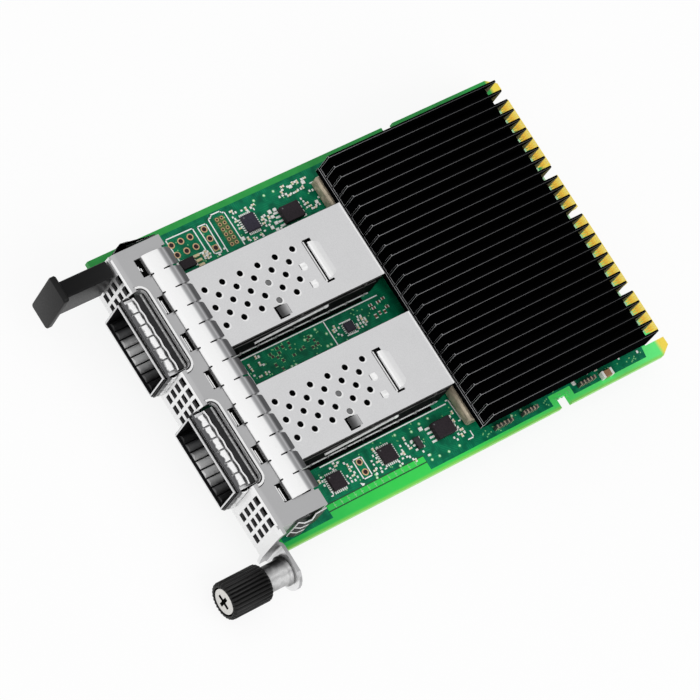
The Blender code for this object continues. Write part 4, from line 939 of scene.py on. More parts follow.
def faceplatePaint(centre, normal):
    # painted light: the front and the raised rims take the brighter, lit copy of the sheet, and the top the darker one
    return 1 if normal.y < -0.7 or (centre.z > sheet["top"] + 0.05 and normal.z > 0.5) else 0


def arcPoints(x, y, radius, start, end, steps):
    return [(x + radius * math.cos(math.radians(start + (end - start) * i / steps)),
             y + radius * math.sin(math.radians(start + (end - start) * i / steps))) for i in range(steps + 1)]


def cutOutline(centre, grow):
    half, rear, radius = portCut["half"] + grow, portCut["rear"] + grow, portCut["radius"] + grow
    return ([(centre + half, portCut["flat"])] + arcPoints(centre + half - radius, rear - radius, radius, 0, 90, 6)
            + arcPoints(centre - half + radius, rear - radius, radius, 90, 180, 6) + [(centre - half, portCut["flat"])])


copyOfNode("faceplate", ["plate", "plateLit"], sheet["edge"], 2, 0, -1, faceplatePaint)
# a fine dark line round each raised rim, and one on the rim's inner edge, both painted shadow
rimLines = (("rim_shadow_lines", portCut["rim"], portCut["rim"] + 0.16, 0.0), ("rim_shade", 0.03, 0.36, 0.4))
for name, inner, outer, up in rimLines:
    bm = bmesh.new()
    for centre in (-portX, portX):
        addBand(bm, cutOutline(centre, inner), cutOutline(centre, outer), sheet["top"] + up, sheet["top"] + up + 0.02)
    finishPiece(name, bm, ["darkMetalShade"])


def fingerStrip():
    # a continuous band in front, then one springy finger after another
    # the sheet's tone is painted along y as reflections and shade: white in front, grey and then dark down the fingers'
    # rear slope
    path = ((-51.95, 11.42), (-51.5, 11.72), (-51.0, 11.84), (-48.95, 11.88))
    half = strip["fingers"] * strip["pitch"] / 2
    bm = bmesh.new()
    addLoft(bm, [(y, z, half - 0.1, strip["thick"] / 2, 0.0) for y, z in path])
    finger = bmesh.new()
    wide = (strip["pitch"] - strip["slit"]) / 2
    first = -half + strip["pitch"] / 2
    addLoft(finger, [(y, z, wide - narrow, strip["thick"] / 2, first) for y, z, narrow in
                     ((-49.0, 11.88, -0.06), (-47.85, 11.9, 0.0), (-47.5, 11.82, 0.0), (-46.5, 11.5, 0.03),
                      (-46.2, 11.38, 0.04),
                      (-45.3, 10.9, 0.06), (-44.6, 10.45, 0.1), (-44.1, 10.05, 0.35))])
    absorb(bm, repeated(finger, strip["fingers"], (strip["pitch"], 0, 0), "strip"))
    finishPiece("finger_strip.shaped", bm, ["strip"], "card", ("finger_strip",), 0.05, 1, 25)


fingerStrip()
fingerEdges = [(i - strip["fingers"] / 2) * strip["pitch"] for i in range(1, strip["fingers"])]
# dark slits between the fingers at the front band, painted as shade
spotPiece("strip_front_slits", [(x, -51.75, 11.62, 0.28, 0.7, 0.5) for x in fingerEdges], "cageSideShade")
# painted black shade under the finger strip and the flange, and behind the vents
boxPiece("strip_shadow", [(-31.0, 31.0, -49.2, -46.9, 11.21, 11.27)], "shadeBlack")
boxPiece("flange_shadow", [(-32.9, 34.2, -55.3, -50.6, 9.62, 10.2)], "shadeBlack")
ventSpans = ((-29.7, -24.2), (-4.2, 4.2), (24.2, 34.2))
boxPiece("vent_shadows", [(x0, x1, -57.72, -57.54, -0.4, 10.1) for x0, x1 in ventSpans], "shadeBlack")
windowX = [(i + 0.5 - strip["fingers"] / 2) * strip["pitch"] for i in range(0, strip["fingers"], 2)]
hooks = []
for i, x in enumerate(windowX):
    hooks += [(x - 0.1, -53.55, 10.75, 3.7 if i else 1.0, 0.22, 0.3),
              (x + 0.3, -53.05, 10.45, 3.2 if i else 0.8, 0.26, 0.5)]
# the window hooks take the lit sheet copy, painted bright as highlights
spotPiece("window_hooks", hooks, "plateLit")
# painted shade: the left spring's bevels and the right spring's faces are painted dark, and the right spring's bevels
# take the bright rail finish as painted highlights
copyOfNode("side_spring_left", ["spring", "darkMetalShade"], 0.14, 1, 0, 1)
copyOfNode("side_spring_right", ["darkMetalShade", "rail"], 0.14, 1, 0, 1)
print("faceplate ready")


# port collars and seals

collar = {"front": -61.0, "band": -60.5, "half": 9.75, "top": 9.7, "low": -0.3, "thick": 0.26, "fingers": 6,
          "pitch": 2.95, "slit": 0.4}


def springCollar(number, centre):
    # bulged fingers on three sides of the mouth and a plain band under it
    # the sheet's tone is painted along y as reflections: dark at the front and rear, white over the bulge
    rise = ((-61.0, 0.14), (-60.5, 0.2), (-60.0, 0.42), (-59.5, 0.56), (-59.0, 0.58), (-58.75, 0.44), (-58.5, 0.2))
    finger = bmesh.new()
    first = centre - (collar["fingers"] - 1) / 2 * collar["pitch"]
    addLoft(finger, [(y, collar["top"] + up, (collar["pitch"] - collar["slit"]) / 2, collar["thick"] / 2, first)
                     for y, up in rise])
    bm = repeated(finger, collar["fingers"], (collar["pitch"], 0, 0), "collar")
    addBox(bm, centre - collar["half"], centre + collar["half"], collar["front"], collar["band"],
           collar["top"], collar["top"] + collar["thick"])
    for side in (-1, 1):
        flank = bmesh.new()
        x = [centre + side * (collar["half"] + up) for y, up in rise]
        outline = [(a, y) for a, (y, up) in zip(x, rise)]
        outline += [(a - side * collar["thick"], y) for a, y in outline[::-1]]
        addPrism(flank, outline, "XY", 0.15, 3.05)
        ring = repeated(flank, 3, (0, 0, 3.2), "collar")
        addBox(ring, centre + side * collar["half"] - 0.13, centre + side * collar["half"] + 0.13, collar["front"],
               collar["band"], collar["low"], collar["top"] + 0.2)
        absorb(bm, ring)
    addBox(bm, centre - collar["half"], centre + collar["half"], collar["front"], -59.0, collar["low"] - 0.3,
           collar["low"])
    name = "port_%d_spring_frame" % number
    finishPiece(name + ".shaped", bm, ["collar"], "card", (name,), 0.04, 1, 30)


hem = {"half": 9.45, "thick": 0.18, "front": -61.6, "rear": -61.12, "low": 0.12, "top": 9.58}


def portSeals(number, centre):
    prefix = "port_%d_" % number
    bm = bmesh.new()
    addBox(bm, centre - 9.35, centre + 9.35, -57.85, -56.62, 9.7, 10.5)
    finishPiece(prefix + "gasket.shaped", bm, ["gasket"], "card", (prefix + "gasket",), 0.12, 2)
    # thin wire-like retainer with a small kink at each finger
    edge = []
    for i in range(13):
        x = centre - 9.2 + i * 18.4 / 12
        edge.append((x, -58.52 + (0.2 if i % 2 else 0.0) + 0.012 * i))
    bm = bmesh.new()
    addBand(bm, edge, [(x, y + 0.36) for x, y in edge], 10.2, 10.5)
    bmesh.ops.remove_doubles(bm, verts=bm.verts, dist=0.001)
    finishPiece(prefix + "retainer", bm, ["plateLit"])
    boxPiece(prefix + "knit_band", [(centre - 9.3, centre + 9.3, -56.5, -56.0, 10.0, 10.42)], "knit",
             bevel=0.08)
    # dark hem folded back just behind the lip
    half, out = hem["half"], hem["half"] + hem["thick"]
    left, right, front, rear = centre - out, centre + out, hem["front"], hem["rear"]
    boxes = [(left, right, front + 0.1, rear, hem["top"] - hem["thick"], hem["top"]),
             (left, right, front, rear, hem["low"], hem["low"] + hem["thick"]),
             (left, centre - half, front, rear, hem["low"], hem["top"]),
             (centre + half, right, front, rear, hem["low"], hem["top"])]
    boxPiece(prefix + "hem", boxes, "darkMetalShade")


ribs = {"count": 8, "pitch": 2.2, "front": -61.3, "rear": -53.5, "floor": 0.95, "gap": 0.28}


def floorRibs(number, centre):
    # a row of arched plates with dark gaps on a base painted dark as shade; the plates are painted bright as a
    # highlight in the port's middle and dark as shade towards its sides
    unit = bmesh.new()
    first = centre - (ribs["count"] - 1) / 2 * ribs["pitch"]
    wide = (ribs["pitch"] - ribs["gap"]) / 2
    arch = [(first + wide * t, ribs["floor"] + 0.95 * (1 - abs(t) ** 2.4)) for t in (-1, -0.8, -0.45, 0, 0.45, 0.8, 1)]
    outline = arch + [(first + wide, ribs["floor"] - 0.05), (first - wide, ribs["floor"] - 0.05)]
    addPrism(unit, outline, "XZ", ribs["front"], ribs["rear"])
    bm = repeated(unit, ribs["count"], (ribs["pitch"], 0, 0), "ribs")
    name = "port_%d_floor_spring" % number
    width = ribs["count"] * ribs["pitch"] / 2
    addBox(bm, centre - width, centre + width, -61.4, ribs["rear"], 0.9, ribs["floor"] + 0.02, 1)
    finishPiece(name + ".shaped", bm, ["ribs", "cageInnerShade"], "card", (name,), 0.0, 1, 50)


for number, centre in ((1, -portX), (2, portX)):
    springCollar(number, centre)
    portSeals(number, centre)
    floorRibs(number, centre)
print("port collars ready")

# cages

cage = {"width": 18.9, "bottom": 0.3, "top": 9.4, "mouth": -61.9, "rear": -1.6, "wall": 0.35, "roof": 0.22,
        "holeRadius": 0.73,
        "firstX": -4.4, "firstY": -41.95, "pitch": 4.78, "rowPitch": 2.28, "slotX": 0.35,
        "slotLong": 11.0, "slotFront": -14.95, "slotRear": -14.2}
lanced = {"x": 7.2, "y": -28.1, "half": 1.25}
dimples = {(2, 3), (4, 3), (2, 5), (4, 5)}      # row and place of the holes that hold a bent-up ear


def holeSpot(centre, row, i):
    x = centre + cage["firstX"] + row * cage["rowPitch"]
    return x, cage["firstY"] + (row % 2) * cage["pitch"] / 2 + i * cage["pitch"]


def cageHoles(centre):
    places = []
    for row in range(5):
        for i in range(6 - row % 2):
            x, y = holeSpot(centre, row, i)
            size = 2 * cage["holeRadius"]
            places.append((x, y, cage["top"], size, size, 2.0))
    return places


def cageShell(number, centre):
    half = cage["width"] / 2
    bm = bmesh.new()
    addBox(bm, centre - half, centre + half, cage["mouth"], cage["rear"], cage["bottom"], cage["top"])
    inside = bmesh.new()
    inner = half - cage["wall"]
    addBox(inside, centre - inner, centre + inner, cage["mouth"] - 2, cage["rear"] - cage["wall"],
           cage["bottom"] + cage["wall"], cage["top"] - cage["roof"], 1)
    slotX = centre + cage["slotX"]
    slots = bmesh.new()
    end = cage["slotLong"] / 2
    front, rear = cage["slotFront"], cage["slotRear"]
    addPrism(slots, [(slotX - end, front), (slotX + end, front), (slotX + end, rear + 1.3),
                     (slotX + end - 0.5, rear + 1.3),
                     (slotX + end - 0.5, rear), (slotX - end + 1.5, rear), (slotX - end + 0.8, rear + 1.4),
                     (slotX - end, rear + 1.4)],
             "XY", cage["top"] - 1, cage["top"] + 1)
    tabX, tabY, wide = centre + lanced["x"], lanced["y"], lanced["half"]
    addPrism(slots, [(tabX - wide - 0.3, tabY - 1.75), (tabX + wide + 0.3, tabY - 1.75),
                     (tabX + wide + 0.3, tabY + 0.9),
                     (tabX + wide - 0.05, tabY + 0.9), (tabX + wide - 0.05, tabY - 1.1),
                     (tabX - wide + 0.05, tabY - 1.1),
                     (tabX - wide + 0.05, tabY + 0.9), (tabX - wide - 0.3, tabY + 0.9)], "XY", cage["top"] - 1,
             cage["top"] + 1)
    cutters = [cutterFrom(inside), cutterFrom(slots),
               spotPiece("holes", cageHoles(centre), "cage", True, 16, keep=False)]
    name = "port_%d_cage" % number
    piece = finishPiece(name + ".shaped", bm, ["cage", "cageInnerShade", "cageSideShade"], "card", (name,),
                        0.07, 1, 0.0, cutters)
    for cutter in cutters:
        bpy.data.objects.remove(cutter)
    back = cardPlace.inverted()
    # painted shade: faces inside the mouth take the dark inner finish, and the outer side walls behind the mouth the
    # dark side finish
    for polygon in piece.data.polygons:
        at = back @ polygon.center
        underRoof = cage["bottom"] + 0.3 < at.z < cage["top"] - cage["roof"] - 0.02
        insideMouth = underRoof and abs(at.x - centre) < inner + 0.02 and at.y > cage["mouth"] + 0.1
        polygon.material_index = 1 if insideMouth else 0
        if abs(polygon.normal.x) > 0.9 and abs(at.x - centre) > half - 0.02 and at.y > -58:
            polygon.material_index = 2


def cageDetails(number, centre):
    prefix = "port_%d_" % number
    half = cage["width"] / 2
    slotX = centre + cage["slotX"]
    scoop = bmesh.new()
    # low louvre behind the long slot, its front lip open
    long = cage["slotLong"] / 2 - 0.85
    # painted highlight: white at the front, fading towards the rear
    addLoft(scoop, [(-14.1, 9.53, long, 0.17, slotX), (-13.6, 9.55, long, 0.19, slotX),
                    (-12.8, 9.51, long - 0.1, 0.15, slotX),
                    (-12.0, 9.45, long - 0.5, 0.07, slotX), (-11.3, 9.4, long - 1.1, 0.02, slotX)])
    finishPiece(prefix + "louvre", scoop, ["louvre"], bevel=0.05, segments=1)
    front = cage["slotFront"]
    # the slot's lip takes the lit sheet copy as a painted highlight, and the groove in front of it the grey as painted
    # shade
    lip = (slotX - long - 0.5, slotX + long + 0.5, front - 0.02, front + 0.22, 9.1, 9.47)
    boxPiece(prefix + "slot_lip", [lip], "plateLit")
    groove = (slotX - long - 0.6, slotX + long + 0.2, front - 0.24, front - 0.04, 9.38, 9.415)
    boxPiece(prefix + "slot_groove", [groove], "cageShade")
    # lanced tab, bent up towards the rear; its tone is painted from dark at the front to light at the rear as shading
    tabX, tabY = centre + lanced["x"], lanced["y"]
    lance = bmesh.new()
    addPrism(lance, [(tabY - 1.15, 9.36), (tabY - 1.15, 9.45), (tabY + 0.4, 9.58), (tabY + 1.4, 9.62),
                     (tabY + 1.4, 9.38)], "YZ",
             tabX - lanced["half"], tabX + lanced["half"])
    finishPiece(prefix + "lance", lance, ["lance"], bevel=0.04, segments=1)
    rearLine = (tabX - lanced["half"] + 0.1, tabX + lanced["half"], tabY + 1.42, tabY + 1.6, 9.38, 9.43)
    boxPiece(prefix + "lance_shade", [rearLine], "cageShade")
    # thin turned-up rear edge, painted bright as a highlight
    rear, top = cage["rear"], cage["top"]
    boxPiece(prefix + "rear_edge", [(centre - half, centre + half, rear - 0.25, rear + 0.1, top - 0.5, top + 0.12)],
             "plateLit", bevel=0.05)
    spotPiece(prefix + "dimples", [(*holeSpot(centre, row, i), 9.2, 1.3, 1.3, 0.2) for row, i in dimples if i == 3],
              "cageShade", True, 16)
    # the ears are painted bright white as a highlight, with a painted shade strip in front of each
    ears = [(holeSpot(centre, row, i)[0], holeSpot(centre, row, i)[1] + 0.1, 9.44, 1.5, 1.5, 0.24) for row,
            i in dimples if i == 5]
    spotPiece(prefix + "ears", ears, "rail", False, 4, bevel=0.06)
    shades = [(x - 0.02, y - 0.78, 9.41, 1.4, 0.26, 0.03) for x, y, *rest in ears]
    spotPiece(prefix + "ear_shades", shades, "cageShade")
    # a bright ring offset to one side of each hole, left as a painted highlight on its rim
    rims = [(x + 0.18, y + 0.12, 9.395, 1.84, 1.84, 0.03) for x, y, *rest in cageHoles(centre)]
    holes = spotPiece("holes", cageHoles(centre), "cage", True, 16, keep=False)
    ring = bmesh.new()
    for x, y, z, w, d, h in rims:
        addRod(ring, x, y, z - 0.015, z + 0.02, w / 2, 16)
    finishPiece(prefix + "hole_rim_highlights", ring, ["plateLit"], cutters=(holes,))
    bpy.data.objects.remove(holes)
    # both long sides: a spring rail, a stiffening rib, pins and a painted shadow along the foot
    for side, tag in ((-1, "left"), (1, "right")):
        wall = centre + side * half
        out = lambda a, b: sorted((wall + side * a, wall + side * b))
        ribBoxes = [(*out(0.0, 0.16), -46.0, -2.2, 8.98, 9.1), (*out(0.0, 0.2), -46.0, -3.0, 6.95, 7.12)]
        ribBoxes += [(*out(0.0, 0.3), y - 0.14, y + 0.14, 6.9, 9.0) for y in (-43.5, -24.2, -6.5)]
        boxPiece(prefix + tag + "_ribs", ribBoxes, "railShade", bevel=0.04)
        # painted black shadow on the board along the cage's foot
        boxPiece(prefix + tag + "_foot_shadow", [(*out(0.3, 1.15), -45.6, -4.4, 0.03, 0.12)], "shadeBlack")
        # long spring strip that widens to a ring
        rail = bmesh.new()
        addPrism(rail, [(-35.5, 4.05), (-34.0, 4.5), (-18.2, 6.15), (-17.4, 6.15), (-17.4, 5.65), (-18.2, 5.65),
                        (-34.0, 3.95), (-35.5, 3.85)],
                 "YZ", *out(0.02, 0.42))
        addBox(rail, *out(0.02, 0.3), -45.5, -2.4, 0.4, 0.55)
        finishPiece(prefix + tag + "_rails", rail, ["rail"], bevel=0.04, segments=1)
        knobs = bmesh.new()
        addTurned(knobs, [(0, 0), (0.5, 0.08), (0.75, 0.3), (0.75, 0.5), (0.0, 0.5)], "z", 16)
        turn = Matrix.Rotation(math.radians(-90 * side), 4, "Y")
        bmesh.ops.transform(knobs, matrix=Matrix.Translation((wall + side * 0.5, -16.6, 5.9)) @ turn, verts=knobs.verts)
        bmesh.ops.recalc_face_normals(knobs, faces=knobs.faces)
        finishPiece(prefix + tag + "_rivet", knobs, ["rail"], smooth=40)
        pins = [(wall + side * 0.3, -43 + i * 4.9, 0.75, 0.28, 0.5, 1.4) for i in range(9)]
        spotPiece(prefix + tag + "_pins", pins, "plateLit")


for number, centre in ((1, -portX), (2, portX)):
    cageShell(number, centre)
    cageDetails(number, centre)
    dressNode("port_%d_connector" % number, "socket")
print("cages ready")

# pull tab and thumbscrew

copyOfNode("pull_tab", ["tab"], 0.12, 2, 40)
copyOfNode("pull_tab_screw", ["steel"], 0.08, 2, 40)
knobLow, knobHigh = nodeBox("thumbscrew_knob")
knob = {"x": (knobLow[0] + knobHigh[0]) / 2, "z": (knobLow[2] + knobHigh[2]) / 2, "front": knobLow[1],
        "rear": knobHigh[1],
        "radius": (knobHigh[0] - knobLow[0]) / 2, "ridges": 28, "depth": 0.42, "recess": 2.0, "headHole": 3.35,
        "ferruleHole": 3.3, "ferruleDepth": 7.4, "shankHole": 1.45}


def gripKnob():
    # ribbed grip with a recess for the screw head and a bore for the ferrule
    steps = knob["ridges"] * 6
    head, grip, bore, long = knob["headHole"], knob["radius"], knob["ferruleHole"], knob["rear"] - knob["front"]
    profile = [(head, knob["recess"]), (head, 0.12), (head + 0.12, 0.0), (grip - 0.5, 0.0), (grip - 0.16, 0.2),
               (grip, 0.6),
               (grip, long - 0.5), (grip - 0.3, long - 0.1), (grip - 0.6, long), (bore, long),
               (bore, long - knob["ferruleDepth"]), (knob["shankHole"], long - knob["ferruleDepth"]),
               (knob["shankHole"], knob["recess"])]
    bm = bmesh.new()
    addTurned(bm, profile, "y", steps)
    for vertex in bm.verts:
        radius = math.hypot(vertex.co.x, vertex.co.z)
        if radius > knob["radius"] - 0.55:
            angle = math.atan2(vertex.co.z, vertex.co.x)
            wave = 0.5 - 0.5 * math.cos(angle * knob["ridges"])
            cut = knob["depth"] * (1 - wave ** 0.55)
            vertex.co.x *= (radius - cut) / radius
            vertex.co.z *= (radius - cut) / radius
    bmesh.ops.translate(bm, verts=bm.verts, vec=(knob["x"], knob["front"], knob["z"]))
    finishPiece("thumbscrew_knob.shaped", bm, ["knob"], "thumb_knob", ("thumbscrew_knob",),
                0.0, 1, 38)


gripKnob()
headFront = nodeBox("thumbscrew_screw")[0][1]
arms = ((1.75, 0.42, 0.02), (0.42, 1.75, 0.03))      # half width, half height and stand-off of each arm of the cross
knobX, knobZ = knob["x"], knob["z"]
# the screw head's cross recess, painted black as shade
boxPiece("thumbscrew_recess", [(knobX - wide, knobX + wide, headFront - off, headFront + 0.1, knobZ - high,
                                knobZ + high)
                               for wide, high, off in arms], "shadeBlack", "thumb_knob")
for node, finish in (("thumbscrew_screw", "steel"), ("thumbscrew_ferrule", "ferrule"), ("thumbscrew_washer", "steel")):
    copyOfNode(node, [finish], 0.05, 2, 40)
for node in ("heat_sink_screw_1", "heat_sink_screw_2", "heat_sink_screw_3", "heat_sink_screw_4",
             "bracket_screw_left", "bracket_screw_right"):
    copyOfNode(node, ["steel"], 0.06, 2, 40)
print("tab and thumbscrew ready")

# chips, printed outlines and small board parts

chips = {"chip_left_memory": "package", "chip_right_memory": "package", "underside_chip": "package",
         "underside_capacitor_1": "tan", "underside_capacitor_2": "tan", "underside_capacitor_3": "tan"}
for node, finish in chips.items():
    copyOfNode(node, [finish], 0.09, 1, 0)
for node in ("crystal_left", "crystal_right"):
    copyOfNode(node, ["can"], 0.55, 3, 40)


# middle x, middle y, width, depth, height and finish of the packages that the photo shows smaller than their CAD blocks
packages = {"chip_left_quad": (-30.6, -18.1, 4.0, 3.4, 0.9, "packageBlue"),
            "chip_left_small": (-28.1, -36.9, 2.2, 3.6, 0.9, "package"),
            "chip_middle": (0.3, -11.0, 2.3, 2.3, 0.8, "packageBlue"),
            "chip_right_quad_front": (29.7, -34.5, 3.8, 3.7, 0.9, "package"),
            "chip_right_quad_rear": (29.5, -20.2, 3.8, 3.8, 0.9, "package"),
            "chip_right_small": (30.4, -12.2, 2.8, 1.35, 1.0, "partBlack")}
spans = {}
for node, (x, y, wide, deep, high, finish) in packages.items():
    bm = bmesh.new()
    addBox(bm, x - wide / 2, x + wide / 2, y - deep / 2, y + deep / 2, 0.1, high)
    finishPiece(node + ".shaped", bm, [finish], "card", (node,), 0.09, 1)
    spans[node] = ((x - wide / 2, y - deep / 2, 0.0), (x + wide / 2, y + deep / 2, high))
for node in ("chip_left_memory", "chip_right_memory"):
    spans[node] = nodeBox(node)


def leadPlaces(node, sides, count, width, reach, tuck):
    # a row of soldered leads that stick out along the named sides of a package
    low, high = spans[node]
    inset = 0.1                 # share of the side that stays free at each end
    places = []
    for side in sides:
        along = 0 if side in ("front", "rear") else 1
        edge = {"front": low[1], "rear": high[1], "left": low[0], "right": high[0]}[side]
        out = -1 if side in ("front", "left") else 1
        middle = edge + out * (reach / 2 - tuck)
        span = (high[along] - low[along]) * (1 - 2 * inset)
        for i in range(count):
            a = low[along] + (high[along] - low[along]) * inset + span * i / max(1, count - 1)
            places.append((a, middle, 0.1, width, reach, 0.14) if along == 0 else (middle, a, 0.1, reach, width, 0.14))
    return places


around = ("front", "rear", "left", "right")
ends = ("front", "rear")
leads = []
# node, sides, leads on a side, width, reach and tuck
for row in (("chip_left_quad", around, 7, 0.3, 0.75, 0.12), ("chip_right_quad_front", around, 7, 0.3, 0.7, 0.12),
            ("chip_right_quad_rear", around, 7, 0.3, 0.7, 0.12), ("chip_left_small", ends, 3, 0.6, 0.6, 0.12),
            ("chip_left_memory", ends, 4, 0.5, 1.3, 0.2), ("chip_right_memory", ends, 4, 0.5, 1.3, 0.2),
            ("chip_right_small", ends, 3, 0.45, 0.7, 0.12), ("chip_middle", around, 5, 0.22, 0.55, 0.12)):
    leads += leadPlaces(*row)
spotPiece("package_leads", leads, "padTin")
dots = []
for node in ("chip_left_quad", "chip_left_memory", "chip_right_quad_front", "chip_right_quad_rear",
             "chip_right_memory"):
    low, high = spans[node]
    dots.append((low[0] + 0.6, low[1] + 0.6, high[2], 0.35, 0.35, 0.02))
spotPiece("first_pin_dots", dots, "cageShade", True, 10)


ink = {"width": 0.28, "thick": 0.03, "level": 0.045}
outlines = [
    [(-35.1, -38.4), (-35.0, -31.1), (-29.1, -31.1), (-29.3, -38.1), (-35.1, -38.4)],
    [(-34.8, -29.9), (-34.7, -27.6), (-27.4, -27.8), (-27.6, -29.7), (-34.8, -29.9)],
    [(-26.9, -26.6), (-35.46, -26.5), (-35.46, -25.6), (-36.0, -25.6), (-36.0, -22.9), (-35.45, -22.9),
     (-35.45, -22.1), (-26.84, -22.05)], [(-33.2, 0.5), (-33.2, 1.7), (-26.4, 1.9), (-26.4, 0.7)],
    [(-1.3, -12.6), (-1.25, -9.75)], [(1.9, -12.3), (1.95, -9.5)], [(-3.4, -15.8), (2.8, -15.75)],
    [(-3.55, -44.0), (-3.5, -0.7)], [(-2.2, -38.6), (2.8, -38.5)], [(-3.4, -44.0), (3.4, -43.9)],
            [(3.3, -32.5), (3.3, -0.9)],
    [(27.2, -28.25), (27.2, -25.9), (32.0, -25.9), (32.0, -28.25), (27.2, -28.25)],
    [(25.3, -35.9), (25.3, -0.8)], [(24.7, -0.3), (24.7, 0.3), (30.0, 0.55), (30.0, -0.2)],
            [(34.7, -0.6), (34.7, 0.9), (33.2, 0.9)],
    [(32.1, -37.2), (32.1, -36.6), (31.5, -36.6)], [(32.1, -22.4), (32.1, -21.8), (31.5, -21.8)],
            [(-33.6, -15.9), (-33.6, -15.3), (-33.0, -15.3)],
]
darkLines = [[(33.3, -39.7), (33.3, -12.7)], [(34.9, -39.7), (34.9, -12.7)]]


def strokes(lines, width):
    # each straight stretch is one thin bar, a little longer than its ends
    places = []
    for line in lines:
        for (x0, y0), (x1, y1) in zip(line, line[1:]):
            places.append(((x0 + x1) / 2, (y0 + y1) / 2, ink["level"], math.hypot(x1 - x0, y1 - y0) + width, width,
                           ink["thick"],
                           math.degrees(math.atan2(y1 - y0, x1 - x0))))
    return places


spotPiece("printed_outlines", strokes(outlines, ink["width"]), "inkWhite")
spotPiece("dark_lines", strokes(darkLines, 0.24), "inkDark")
crosses = []
for i in range(13):
    y = -37.7 + 1.87 * i
    crosses += [(34.1, y, 0.02, 1.5, 0.17, 0.04, 4), (34.1, y + 0.05, 0.021, 0.17, 0.6, 0.04)]
spotPiece("strip_crosses", crosses, "inkLight")
bm = bmesh.new()
addPrism(bm, [(32.3, -29.6), (33.4, -29.4), (32.9, -28.6)], "XY", 0.03, 0.06)
finishPiece("triangle_mark", bm, ["inkWhite"])

# twelve small rings on an olive patch
grid = [(-34.45 + 1.285 * i, y) for i in range(6) for y in (-24.7, -23.42)]
spotPiece("olive_patch", [(-31.25, -24.05, 0.035, 7.5, 2.5, 0.02)], "olive")
spotPiece("grid_rings", [(x, y, 0.055, 0.92, 0.92, 0.04) for x, y in grid], "padTan", True, 14)
spotPiece("grid_centres", [(x, y, 0.062, 0.5, 0.5, 0.05) for x, y in grid], "holeDark", True, 12)

